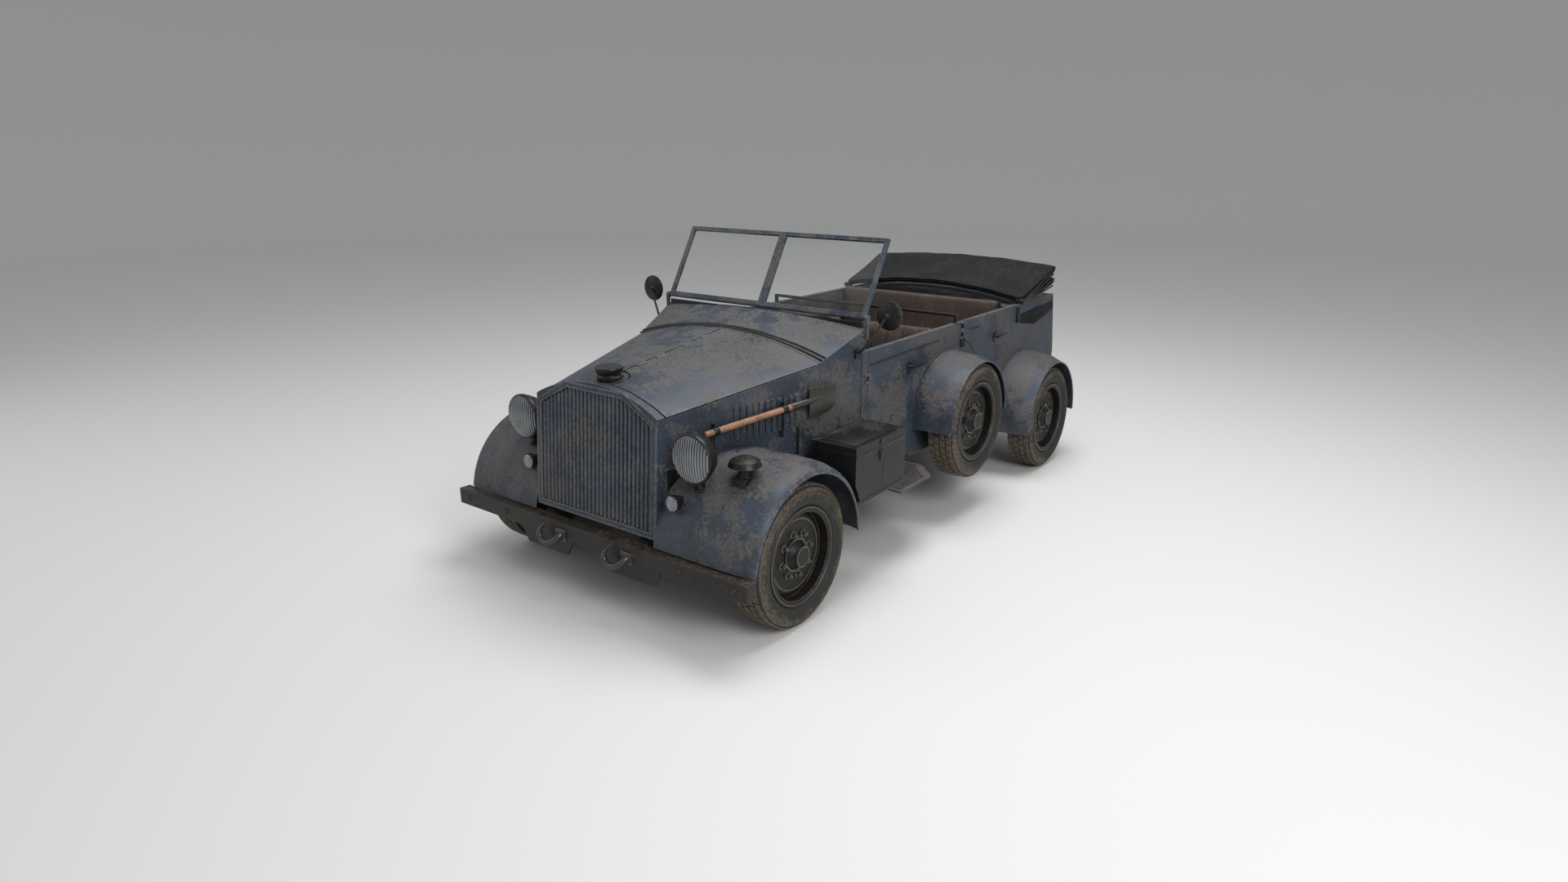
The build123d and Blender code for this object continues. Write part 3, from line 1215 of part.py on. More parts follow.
def make_hooded_lamp():
    """Hooded lamp on the left mudguard: a flared hood on a tapered neck and a box foot."""
    radius, top, half = BLACKOUT_RADIUS, BLACKOUT_TOP, BLACKOUT_FOOT_HALF
    low = top - BLACKOUT_HEIGHT
    hood = [(0, top), (radius * 0.58, top), (radius * 0.86, top - 12), (radius, low), (0, low)]
    lamp = upright_turned(hood, BLACKOUT_X, BLACKOUT_STATION)
    neck_foot = BLACKOUT_FOOT_TOP - 5
    neck = [(0, low + 5), (half * 0.55, low + 5), (half * 0.9, neck_foot), (0, neck_foot)]
    lamp += upright_turned(neck, BLACKOUT_X, BLACKOUT_STATION)
    y = station(BLACKOUT_STATION)
    lamp += block((BLACKOUT_X - half, BLACKOUT_X + half), (y - half - 8, y + half),
                  (AXLE_Z, BLACKOUT_FOOT_TOP))
    return lamp - front_guard_solid()


def make_lamp_lenses():
    """Glass of the headlamps and side lamps."""
    radius = HEADLAMP_RADIUS - 8
    lens = lamp_turned([(-12, 0), (-8, radius * 0.6), (0, radius), (18, radius), (18, 0)],
                       HEADLAMP_X, HEADLAMP_FRONT, HEADLAMP_Z)
    small = SIDE_LAMP_RADIUS - 5
    side = lamp_turned([(-9, 0), (-6, small * 0.6), (0, small), (8, small), (8, 0)],
                       SIDE_LAMP_X, SIDE_LAMP_FRONT, SIDE_LAMP_Z)
    return Compound(both_sides(lens) + both_sides(side))


def make_mirrors():
    """Round mirror on a bent stalk from each scuttle side."""
    foot = (BODY_HALF - 14, station(MIRROR_FOOT_STATION), MIRROR_FOOT_Z)
    head = (MIRROR_X, station(MIRROR_STATION), MIRROR_Z)
    mirror_disc = lamp_turned([(-16, 0), (-12, MIRROR_RADIUS * 0.6), (0, MIRROR_RADIUS), (8, MIRROR_RADIUS),
                               (8, 0)], MIRROR_X, MIRROR_STATION, MIRROR_Z)
    arm = rod(foot, head, 6) + mirror_disc
    return Compound(both_sides(arm - mirror_trim()))


def mirror_trim():
    """Body of the scuttle, to end each mirror stalk on its face."""
    rear_half = BODY_HALF - 1
    return loft([
        scuttle_section(BONNET_REAR_HALF, BONNET_REAR_SHOULDER, BONNET_REAR_CREST, RAIL_TOP, BONNET_REAR),
        scuttle_section(rear_half, SCUTTLE_REAR_SHOULDER, SCUTTLE_REAR_CREST, RAIL_TOP, SCUTTLE_REAR),
    ], ruled=True)


def make_tail_lamps():
    """Small tail lamp at each end of the tail panel."""
    x = BODY_HALF - 110
    y = station(TAIL_WAIST - 12)
    lamp = block((x - 45, x + 45), (y, y + 40), (TAIL_WAIST_Z - 60, TAIL_WAIST_Z + 60))
    wall = side_plate([(TAIL_LOW, SILL_BOTTOM), (TAIL_WAIST, TAIL_WAIST_Z), (TAIL_TOP, BODY_TOP),
                       (WHEELBASE, BODY_TOP), (WHEELBASE, SILL_BOTTOM)], (-BODY_HALF, BODY_HALF))
    return Compound(both_sides(lamp - wall))


# Inside
def make_dashboard():
    """Dashboard across the scuttle with the steering column."""
    half = BODY_HALF - 60
    dash = block((-half, half), (station(SCUTTLE_REAR - 30), station(SCUTTLE_REAR - 8)),
                 (DASH_BOTTOM, DASH_TOP))
    column_foot = (STEERING_X, station(COLUMN_FOOT_STATION), COLUMN_FOOT_Z)
    top = Vector(STEERING_X, station(STEERING_STATION), STEERING_Z)
    run = (top - Vector(*column_foot)).normalized()
    shoulder = top - run * 24
    dash += rod(column_foot, tuple(shoulder), COLUMN_RADIUS)
    dash += rod(tuple(shoulder - run * 10), tuple(top + run * 12), COLUMN_PIN_RADIUS)
    dash += rod((STEERING_X, station(BULKHEAD_STATION), COLUMN_FOOT_Z - 115), column_foot, COLUMN_RADIUS)
    engine_side = (station(0), station(BULKHEAD_STATION + BULKHEAD_THICKNESS))
    return dash - block((0, BODY_HALF), engine_side, (0, BODY_TOP))


def make_steering_wheel():
    """Four-spoked steering wheel on the column's top pin."""
    foot = Vector(STEERING_X, station(COLUMN_FOOT_STATION), COLUMN_FOOT_Z)
    top = Vector(STEERING_X, station(STEERING_STATION), STEERING_Z)
    plane = Plane(origin=top, x_dir=(1, 0, 0), z_dir=top - foot)
    wheel = Torus(STEERING_WHEEL_RADIUS, STEERING_RIM_RADIUS)
    wheel += Cylinder(38, 36)
    for turn in (0, 90, 180, 270):
        spoke = Pos(STEERING_WHEEL_RADIUS / 2 + 12, 0, 0) * Box(STEERING_WHEEL_RADIUS - 28, 22, 9)
        wheel += Rot(Z=turn + 45) * spoke
    wheel -= Pos(0, 0, -6) * Cylinder(COLUMN_PIN_RADIUS + RUNNING_FIT, 37)
    return plane * wheel


def make_front_seats():
    """Two front seats: base, cushion and leaning back."""
    floor = FLOOR_BOTTOM + FLOOR_THICKNESS
    front, rear = FRONT_SEAT_FRONT, FRONT_SEAT_REAR
    bottom = SEAT_TOP - 150
    outline = [
        (front, bottom), (front, SEAT_TOP - 10), (rear - 130, SEAT_TOP - 40),
        (rear - 70, FRONT_BACK_TOP), (rear, FRONT_BACK_TOP), (rear - 60, bottom),
    ]
    seat = side_plate(outline, (70, SEAT_HALF - 20))
    seat += block((110, SEAT_HALF - 60), (station(front + 50), station(rear - 120)), (floor, bottom))
    return Compound(both_sides(seat))


def make_rear_seat():
    """Rear bench with its tall back."""
    floor = FLOOR_BOTTOM + FLOOR_THICKNESS
    outline = [
        (REAR_SEAT_FRONT, floor), (REAR_SEAT_FRONT, SEAT_TOP),
        (REAR_SEAT_FRONT + REAR_CUSHION_DEPTH, SEAT_TOP - SEAT_DISH),
        (REAR_SEAT_REAR - REAR_BACK_THICKNESS, REAR_BACK_TOP), (REAR_SEAT_REAR, REAR_BACK_TOP),
        (REAR_SEAT_REAR, floor),
    ]
    return side_plate(outline, (-SEAT_HALF, SEAT_HALF))


def make_grab_rail():
    """Grab rail behind the front seats, on two posts."""
    x = BODY_HALF - BODY_WALL / 2
    rail = cross_rod((-x, x), RAIL_STATION, RAIL_HEIGHT, RAIL_RADIUS)
    for side in (-1, 1):
        rail += upright(side * x, RAIL_STATION, (BODY_TOP, RAIL_HEIGHT + 8), RAIL_RADIUS + 3)
    return rail


def hood_band(half, low, rise, distance):
    """Section of one folded hood layer: an arched band."""
    thick = HOOD_LAYER_THICKNESS
    upper = ThreePointArc((-half, low + thick), (0, low + thick + rise), (half, low + thick))
    under = ThreePointArc((half, low), (0, low + rise), (-half, low))
    ends = [Line((half, low + thick), (half, low)), Line((-half, low), (-half, low + thick))]
    return section_plane(distance) * make_face([*upper.edges(), ends[0], *under.edges(), ends[1]])


def make_folded_hood():
    """Folded hood: fanned layers rising towards the tail, on a stem at each side."""
    hood = None
    for index in range(HOOD_LAYERS):
        rear_z = HOOD_REAR_TOP - HOOD_LAYER_THICKNESS - index * HOOD_LAYER_PITCH
        front_z = HOOD_FRONT_Z - index * 3
        layer = loft([hood_band(HOOD_FRONT_HALF, front_z, HOOD_FRONT_RISE, HOOD_FRONT),
                      hood_band(HOOD_REAR_HALF, rear_z, HOOD_REAR_RISE, HOOD_REAR)], ruled=True)
        hood = layer if hood is None else hood + layer
    for side in (-1, 1):
        x = side * (BODY_HALF - BODY_WALL / 2)
        hood += block((x - HOOD_STEM / 2, x + HOOD_STEM / 2), (station(HOOD_FRONT), station(HOOD_FRONT + 50)),
                      (BODY_TOP, HOOD_FRONT_Z + 30))
    return hood


def make_spade():
    """Spade strapped along the left bonnet side."""
    plane = side_frame()
    out = SPADE_STANDOFF

    def at(distance):
        share = (distance - SPADE_FRONT) / (SPADE_SOCKET_END - SPADE_FRONT)
        height = between(SPADE_FRONT_Z, SPADE_END_Z, share)
        return plane.from_local_coords(Vector(along_side(distance), height, out))

    spade = rod(tuple(at(SPADE_FRONT)), tuple(at(SPADE_WOOD_END)), SPADE_RADIUS)
    spade += rod(tuple(at(SPADE_WOOD_END - 20)), tuple(at(SPADE_SOCKET_END + 40)), SPADE_RADIUS + 4)
    corners = [(along_side(between(SPADE_SOCKET_END, SPADE_BLADE_END, share)), SPADE_END_Z + rise)
               for share, rise in BLADE_OUTLINE]
    blade = extrude(make_face(Polyline(*corners, close=True)), BLADE_THICKNESS)
    spade += plane * (Pos(0, 0, out - BLADE_THICKNESS / 2) * blade)
    for distance in (SPADE_FRONT + 60, SPADE_WOOD_END - 60):
        centre = plane.to_local_coords(at(distance))
        spade += plane * (Pos(centre.X, centre.Y, (LOUVRE_RAISE + out) / 2) * Box(26, 30, out - LOUVRE_RAISE))
        spade += plane * (Pos(centre.X, centre.Y + 40, out / 2) * Box(26, 110, 2))
    return spade


def make_tow_coupling():
    """Rear coupling jaw with an upright pin hole, on the last cross member."""
    rear = REAR_OVERHANG + WHEELBASE
    face = TAIL_MEMBER + CROSS_WIDTH / 2
    middle = SILL_BOTTOM - 31
    jaw = block((-28, 28), (station(face), station(rear - 70)), (middle - 28, middle + 28))
    for low, high in ((14, 30), (-30, -14)):
        jaw += block((-45, 45), (station(rear - 110), station(rear)), (middle + low, middle + high))
    jaw += block((-45, 45), (station(rear - 110), station(rear - 90)), (middle - 30, middle + 30))
    return jaw - upright(0, rear - 40, (0, BODY_TOP), 16)


def main():
    """Build every piece and write one file for each."""
    left_bonnet = make_bonnet_half([(40, 100), (380, 440)])
    right_bonnet = other_side(make_bonnet_half([(-90, -30), (240, 300)]))
    front_door = make_door(front_door_form, DOOR_FITTINGS["front"])
    rear_door = make_door(rear_door_form, DOOR_FITTINGS["rear"])
    toolbox, lid = make_toolbox(), make_toolbox_lid()
    knuckle = make_knuckle()
    pieces = {
        "chassis_frame": make_chassis(),
        "front_axle": make_front_axle(),
        "rear_axle": make_rear_axle(),
        "leaf_springs": make_springs(),
        "prop_shafts": make_prop_shafts(),
        "engine_block": make_engine(),
        "exhaust": make_exhaust(),
        "front_bumper": make_bumper(),
        "tow_hooks": make_tow_hooks(),
        "tow_coupling": make_tow_coupling(),
        "radiator_shell": make_radiator_shell(),
        "grille_slats": make_grille_slats(),
        "radiator_core": make_radiator(),
        "radiator_cap": make_radiator_cap(),
        "bonnet_left": left_bonnet,
        "bonnet_right": right_bonnet,
        "bonnet_sides": make_bonnet_sides(),
        "scuttle": make_scuttle(),
        "floor_pan": make_floor(),
        "body_sides": make_body_sides(),
        "tail_panel": make_tail(),
        "door_front_left": front_door,
        "door_front_right": other_side(front_door),
        "door_rear_left": rear_door,
        "door_rear_right": other_side(rear_door),
        "front_mudguards": make_front_mudguards(),
        "spare_mudguards": make_spare_mudguards(),
        "rear_mudguards": make_rear_mudguards(),
        "spare_axles": make_spare_axles(),
        "toolboxes": Compound(both_sides(toolbox)),
        "toolbox_lid_left": lid,
        "toolbox_lid_right": other_side(lid),
        "step_plates": make_step_plates(),
        "windscreen_frame": make_windscreen_frame(),
        "windscreen_glass": make_windscreen_glass(),
        "lamp_housings": make_lamp_housings(),
        "lamp_lenses": make_lamp_lenses(),
        "tail_lamps": make_tail_lamps(),
        "mirrors": make_mirrors(),
        "dashboard": make_dashboard(),
        "steering_wheel": make_steering_wheel(),
        "front_seats": make_front_seats(),
        "rear_seat": make_rear_seat(),
        "grab_rail": make_grab_rail(),
        "folded_hood": make_folded_hood(),
        "spade": make_spade(),
        "knuckle_left": knuckle,
        "knuckle_right": other_side(knuckle),
    }
    pieces.update(make_wheels())
    os.makedirs("parts", exist_ok=True)
    for name, shape in pieces.items():
        export_step(shape, f"parts/{name}.step")
        print(f"{name}: {len(shape.solids())} solids, {shape.volume / 1e6:.2f} litres")


main()
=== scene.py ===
"""Looks of an open army cross-country car: finishes, tyres, soft trim, fittings and studio."""

import json
import logging
import math
from dataclasses import dataclass
from enum import Enum
from typing import Any, Iterable, Optional, Sequence, Union

import bpy
from mathutils import Matrix, Vector

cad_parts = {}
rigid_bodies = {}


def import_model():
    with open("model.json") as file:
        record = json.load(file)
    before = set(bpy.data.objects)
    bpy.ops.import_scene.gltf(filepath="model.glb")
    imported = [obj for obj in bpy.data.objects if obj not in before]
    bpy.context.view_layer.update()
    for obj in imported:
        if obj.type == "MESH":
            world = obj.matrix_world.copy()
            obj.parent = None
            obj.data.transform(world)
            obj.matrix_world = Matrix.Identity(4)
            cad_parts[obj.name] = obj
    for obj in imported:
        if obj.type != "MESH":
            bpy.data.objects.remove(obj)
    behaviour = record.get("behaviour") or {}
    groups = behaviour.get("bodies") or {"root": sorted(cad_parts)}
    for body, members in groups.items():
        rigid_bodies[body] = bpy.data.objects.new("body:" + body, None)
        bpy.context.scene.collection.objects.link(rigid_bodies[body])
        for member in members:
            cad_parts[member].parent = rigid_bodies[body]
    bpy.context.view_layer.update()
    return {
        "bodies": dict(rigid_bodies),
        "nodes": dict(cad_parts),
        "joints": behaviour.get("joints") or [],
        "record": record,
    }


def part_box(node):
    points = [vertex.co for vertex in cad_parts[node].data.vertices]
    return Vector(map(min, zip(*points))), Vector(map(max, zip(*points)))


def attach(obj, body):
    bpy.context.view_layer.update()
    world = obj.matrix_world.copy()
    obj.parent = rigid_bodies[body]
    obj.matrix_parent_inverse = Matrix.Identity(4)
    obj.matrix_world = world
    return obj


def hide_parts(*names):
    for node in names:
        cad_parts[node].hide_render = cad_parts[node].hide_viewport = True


log = logging.getLogger("army_car")
Piece = bpy.types.Object
Colour = tuple[float, float, float]
Spot = tuple[float, float, float]
Span = tuple[float, float]
Profile = Sequence[Span]
Value = Union["Shade", float, int, Sequence[float]]
SIDES = (("left", 1), ("right", -1))
MUD: Colour = (0.105, 0.078, 0.055)
HEADLAMP_MIDDLE = 0.590
HEADLAMP_RADIUS = 0.1085
HEADLAMP_FLUTES = 15


class Shade:
    """A shader socket; arithmetic on it adds Math nodes to its graph."""

    def __init__(self, graph: "Graph", socket: bpy.types.NodeSocket) -> None:
        """Keep the socket and the graph it belongs to."""
        self.graph = graph
        self.socket = socket

    def maths(self, operation: str, *others: Value) -> "Shade":
        """Add one Math node.

        Args:
            operation: The node's operation.
            others: Its further inputs, after this socket.

        Returns:
            The node's result.
        """
        inputs = dict(enumerate((self, *others)))
        return self.graph.node("ShaderNodeMath", {"operation": operation}, inputs)

    def __add__(self, other: Value) -> "Shade":
        """This plus a number or socket."""
        return self.maths("ADD", other)

    __radd__ = __add__

    def __mul__(self, other: Value) -> "Shade":
        """This times a number or socket."""
        return self.maths("MULTIPLY", other)

    __rmul__ = __mul__

    def __sub__(self, other: Value) -> "Shade":
        """This less a number or socket."""
        return self.maths("SUBTRACT", other)

    def __rsub__(self, other: Value) -> "Shade":
        """A number less this."""
        return self.maths("MULTIPLY", -1.0) + other

    def __truediv__(self, other: Value) -> "Shade":
        """This divided by a number or socket."""
        return self.maths("DIVIDE", other)

    def __pow__(self, other: Value) -> "Shade":
        """This raised to a power."""
        return self.maths("POWER", other)

    def rise(self, low: float, high: float) -> "Shade":
        """Smooth step.

        Args:
            low: Value that gives 0.
            high: Value that gives 1.

        Returns:
            A mask from 0 to 1.
        """
        inputs = {0: self, 1: low, 2: high, 3: 0.0, 4: 1.0}
        return self.graph.node("ShaderNodeMapRange", {"interpolation_type": "SMOOTHSTEP"}, inputs)


class Graph:
    """The node tree of one material."""

    def __init__(self, name: str) -> None:
        """Start a material with only its output and main shader.

        Args:
            name: The material's name.
        """
        self.material = bpy.data.materials.new(name)
        self.material.use_nodes = True
        self.tree = self.material.node_tree
        self.tree.nodes.clear()
        self.output = self.tree.nodes.new("ShaderNodeOutputMaterial")
        self.shader = self.tree.nodes.new("ShaderNodeBsdfPrincipled")
        self.tree.links.new(self.shader.outputs[0], self.output.inputs["Surface"])
        self.place = self.node("ShaderNodeTexCoord", {}, {}, "Object")

    def feed(self, node: bpy.types.Node, key: Union[str, int], value: Value) -> None:
        """Link a socket to a node's input, or set the input's own value.

        Args:
            node: The node.
            key: The input's name or number.
            value: A socket, a number or a colour.
        """
        socket = node.inputs[key]
        if isinstance(value, Shade):
            self.tree.links.new(value.socket, socket)
        elif isinstance(value, (int, float)):
            socket.default_value = value
        else:
            numbers = list(value)
            socket.default_value = numbers + [1.0] * (len(socket.default_value) - len(numbers))

    def node(self, kind: str, settings: dict[str, Any], inputs: dict[Any, Value],
             output: Union[str, int] = 0) -> Shade:
        """Add any node.

        Args:
            kind: The node's type.
            settings: Its settings, set before its inputs; ramp gives a colour ramp's stops.
            inputs: Values or sockets for its inputs, by name or number.
            output: The output that is wanted.

        Returns:
            That output.
        """
        made = self.tree.nodes.new(kind)
        for key, value in settings.items():
            if key == "ramp":
                for index, (position, colour) in enumerate(value):
                    stops = made.color_ramp.elements
                    stop = stops[index] if index < len(stops) else stops.new(position)
                    stop.position = position
                    stop.color = (*colour, 1.0)
            else:
                setattr(made, key, value)
        for key, value in inputs.items():
            self.feed(made, key, value)
        return Shade(self, made.outputs[output])

    def noise(self, scale: float, detail: float = 4.0, rough: float = 0.55,
              place: Optional[Shade] = None) -> Shade:
        """Noise over the surface.

        Args:
            scale: Features in a metre.
            detail: Octaves.
            rough: Strength of each finer octave.
            place: Coordinates, the object's own if left out.

        Returns:
            A value from 0 to 1.
        """
        inputs = {"Vector": place or self.place, "Scale": scale, "Detail": detail, "Roughness": rough}
        return self.node("ShaderNodeTexNoise", {}, inputs)

    def stretched(self, scale: Spot, turn: Spot = (0.0, 0.0, 0.0)) -> Shade:
        """The object's coordinates, stretched and turned for a grain."""
        return self.node("ShaderNodeMapping", {}, {"Vector": self.place, "Scale": scale, "Rotation": turn})

    def mix(self, share: Value, first: Value, second: Value) -> Shade:
        """Colour a share of the way from the first to the second."""
        return self.node("ShaderNodeMix", {"data_type": "RGBA"}, {0: share, 6: first, 7: second}, 2)

    def facing(self) -> tuple[Shade, Shade, Shade]:
        """Direction that the surface faces.

        Returns:
            Its X, Y and Z.
        """
        normal = self.node("ShaderNodeNewGeometry", {}, {}, "Normal")
        parts = [self.node("ShaderNodeSeparateXYZ", {}, {0: normal}, axis) for axis in range(3)]
        return parts[0], parts[1], parts[2]

    def height(self) -> Shade:
        """Height above the ground in metres."""
        return self.node("ShaderNodeSeparateXYZ", {}, {0: self.place}, 2)

    def edges(self, radius: float, low: float, high: float) -> Shade:
        """Mask of the sharp edges.

        Args:
            radius: Width of the band along an edge, in metres.
            low: Turn of the surface that counts as no edge.
            high: Turn that counts as a full edge.

        Returns:
            A mask from 0 to 1.
        """
        soft = self.node("ShaderNodeBevel", {"samples": 4}, {"Radius": radius})
        hard = self.node("ShaderNodeNewGeometry", {}, {}, "Normal")
        dot = self.node("ShaderNodeVectorMath", {"operation": "DOT_PRODUCT"}, {0: soft, 1: hard}, "Value")
        return (1.0 - dot).rise(low, high)

    def bump(self, height: Shade, strength: float, distance: float) -> None:
        """Feed a height into the shader's normal."""
        inputs = {"Strength": strength, "Distance": distance, "Height": height}
        self.feed(self.shader, "Normal", self.node("ShaderNodeBump", {}, inputs))

    def set(self, **inputs: Value) -> "Graph":
        """Set the main shader's inputs.

        Args:
            inputs: Values by input, where an underscore stands for a space.

        Returns:
            The graph.
        """
        for key, value in inputs.items():
            self.feed(self.shader, key.replace("_", " "), value)
        return self


@dataclass(frozen=True)
class WornPaint:
    """Brushed-on paint with dust patches, speckle, splashed mud and lighter edges, partly rubbed wear and
    partly painted highlight.
    """

    name: str
    colour: Colour
    shade: Colour
    dust: Colour
    # Colour of the edges: partly rubbed paint, partly painted highlight along them.
    rubbed: Colour
    dust_level: float = 0.55
    speckle: float = 0.5
    # Strength of the lighter edges, rubbed wear and painted highlight together.
    rub: float = 0.8
    rough: float = 0.43
    metal: float = 0.15
    sheen: float = 0.5
    mud_top: float = 0.75

    def material(self) -> bpy.types.Material:
        """Build the paint.

        Returns:
            The material.
        """
        g = Graph(self.name)
        broad = g.noise(2.3, 6.0, 0.62)
        middle = g.noise(9.0, 5.0, 0.6)
        fine = g.noise(60.0, 3.0, 0.6)
        grain = g.noise(240.0, 2.0, 0.6)
        flecks = fine * 0.6 + grain * 0.4
        up = g.facing()[2]
        paint = g.mix(g.noise(3.7, 5.0, 0.6).rise(0.38, 0.66), self.colour, self.shade)
        pull = broad * 0.5 + middle * 0.32 + fine * 0.18 + up * 0.035
        patches = pull.rise(1.02 - self.dust_level, 1.08 - self.dust_level)
        dust = patches * (0.3 + 0.7 * flecks.rise(0.42, 0.58))
        specks = (grain * 0.4 + fine * 0.6).rise(0.52, 0.62) * self.speckle
        mud = (g.height() * -1.0 + self.mud_top + (middle - 0.5) * 0.5).rise(0.0, 0.6)
        mud = mud * (0.25 + 0.75 * fine.rise(0.4, 0.62))
        film = (dust * 0.8).maths("MAXIMUM", specks * 0.45).maths("MAXIMUM", mud * 0.6)
        colour = g.mix(mud * up.rise(0.5, 0.9) * 0.8, g.mix(film, paint, self.dust), MUD)
        # Edges painted lighter: partly chipped, rubbed wear, partly painted highlight along the edges.
        lit_and_chipped_edges = g.edges(0.009, 0.02, 0.16) * (fine * 0.55 + grain * 0.45).rise(0.38, 0.56) * self.rub
        colour = g.mix(lit_and_chipped_edges, colour, self.rubbed)
        g.set(Base_Color=colour, Roughness=self.rough + film * 0.38 + grain * 0.08 - lit_and_chipped_edges * 0.12,
              Metallic=self.metal * (1.0 - film) + lit_and_chipped_edges * 0.4, Specular_IOR_Level=self.sheen)
        g.bump(fine * 0.5 + grain * 0.5 + film * 0.4, 0.12, 0.002)
        return g.material


@dataclass(frozen=True)
class Rubber:
    """Tyre rubber, muddy where the mesh's mud attribute is high."""

    name: str
    rubber: Colour
    mud: Colour

    def material(self) -> bpy.types.Material:
        """Build the rubber.

        Returns:
            The material.
        """
        g = Graph(self.name)
        marked = g.node("ShaderNodeAttribute", {"attribute_name": "mud"}, {}, "Fac")
        broad = g.noise(7.0, 5.0, 0.62)
        fine = g.noise(70.0, 4.0, 0.62)
        cake = (broad * 0.55 + fine * 0.45 + marked * 0.42 - 0.28).rise(0.38, 0.62)
        old = g.mix(g.noise(22.0, 3.0), self.rubber, [part * 1.9 for part in self.rubber])
        pale = g.mix(fine.rise(0.35, 0.65), [part * 0.55 for part in self.mud], self.mud)
        g.set(Base_Color=g.mix(cake * 0.8, old, pale), Roughness=0.72 + cake * 0.22)
        g.bump(fine * 0.6 + cake * 0.6, 0.3, 0.003)
        return g.material


@dataclass(frozen=True)
class BareMetal:
    """Iron or steel with oil, rust and rubbed edges."""

    name: str
    colour: Colour
    stain: Colour
    bright: Colour
    rough: float = 0.5
    metal: float = 0.8
    stain_level: float = 0.5

    def material(self) -> bpy.types.Material:
        """Build the metal.

        Returns:
            The material.
        """
        g = Graph(self.name)
        broad = g.noise(11.0, 6.0, 0.65)
        fine = g.noise(120.0, 3.0, 0.6)
        stain = (broad * 0.65 + fine * 0.35).rise(1.0 - self.stain_level, 1.16 - self.stain_level)
        rubbed = g.edges(0.006, 0.03, 0.2) * fine.rise(0.36, 0.6)
        colour = g.mix(rubbed, g.mix(stain, self.colour, self.stain), self.bright)
        g.set(Base_Color=colour, Roughness=self.rough + stain * 0.3 - rubbed * 0.15,
              Metallic=self.metal * (1.0 - stain * 0.7))
        g.bump(fine * 0.5 + stain * 0.5, 0.15, 0.0015)
        return g.material


@dataclass(frozen=True)
class Hide:
    """Worn leather with pores, creases and pale rubbed edges."""

    name: str
    colour: Colour
    worn: Colour

    def material(self) -> bpy.types.Material:
        """Build the leather.

        Returns:
            The material.
        """
        g = Graph(self.name)
        cells = g.node("ShaderNodeTexVoronoi", {"feature": "DISTANCE_TO_EDGE"},
                       {"Vector": g.place, "Scale": 190.0})
        broad = g.noise(6.0, 6.0, 0.62)
        fine = g.noise(85.0, 3.0, 0.6)
        wear = (broad * 0.6 + fine * 0.4).rise(0.47, 0.66)
        dark = g.mix(g.noise(3.0, 4.0).rise(0.35, 0.68), self.colour, [part * 0.6 for part in self.colour])
        colour = g.mix(wear * 0.55, dark, self.worn)
        colour = g.mix(g.edges(0.012, 0.02, 0.2) * fine.rise(0.35, 0.6) * 0.6, colour, self.worn)
        g.set(Base_Color=colour, Roughness=0.5 + wear * 0.25 + fine * 0.08)
        g.bump(cells.rise(0.0, 0.25) * 0.5 + fine * 0.35 + broad * 0.4, 0.3, 0.002)
        return g.material


@dataclass(frozen=True)
class Canvas:
    """Proofed hood cloth: a coarse weave with dusty speckle."""

    name: str
    colour: Colour
    dust: Colour
    threads: float = 330.0

    def material(self) -> bpy.types.Material:
        """Build the cloth.

        Returns:
            The material.
        """
        g = Graph(self.name)
        thread = {"Vector": g.place, "Scale": self.threads / 20.0, "Distortion": 0.6, "Detail": 1.0}
        weft, warp = [g.node("ShaderNodeTexWave", {"bands_direction": axis}, thread) for axis in ("X", "Y")]
        weave = weft.maths("MAXIMUM", warp)
        broad = g.noise(5.0, 5.0, 0.62)
        specks = g.noise(70.0, 3.0, 0.75)
        dust = (broad * 0.3 + specks * 0.7).rise(0.47, 0.60)
        cloth = g.mix(weave * 0.4, self.colour, [part * 0.5 for part in self.colour])
        colour = g.mix(dust * 0.5, cloth, self.dust)
        g.set(Base_Color=colour, Roughness=0.86 + dust * 0.1, Specular_IOR_Level=0.25)
        g.bump(weave * 0.5 + specks * 0.6, 0.35, 0.0015)
        return g.material


@dataclass(frozen=True)
class Timber:
    """Oiled ash with grain along the spade's handle."""

    name: str
    light: Colour
    dark: Colour

    def material(self) -> bpy.types.Material:
        """Build the wood.

        Returns:
            The material.
        """
        g = Graph(self.name)
        along = g.stretched((150.0, 9.0, 150.0), (0.0, 0.0, 0.25))
        grain = g.noise(1.0, 6.0, 0.6, along)
        blotch = g.noise(14.0, 4.0, 0.6)
        fine = g.noise(90.0, 3.0, 0.6)
        shade = (grain * 0.7 + blotch * 0.3).rise(0.36, 0.68)
        colour = g.mix(shade, self.light, self.dark)
        stains = (blotch * 0.6 + fine * 0.4).rise(0.55, 0.72)
        colour = g.mix(stains * 0.6, colour, [part * 0.4 for part in self.dark])
        g.set(Base_Color=colour, Roughness=0.55 + shade * 0.15)
        g.bump(grain, 0.2, 0.0015)
        return g.material


@dataclass(frozen=True)
class ClearGlass:
    """Flat clear glass with a light film of dust."""

    name: str
    film: Colour
    clear: float = 0.045
    dusty: float = 0.05

    def material(self) -> bpy.types.Material:
        """Build the glass.

        Returns:
            The material.
        """
        g = Graph(self.name)
        film = (g.noise(3.0, 5.0, 0.6) * 0.6 + g.noise(70.0, 3.0) * 0.4).rise(0.40, 0.72)
        g.set(Base_Color=self.film, Roughness=0.03, Specular_IOR_Level=0.2,
              Alpha=self.clear + film * self.dusty)
        return g.material


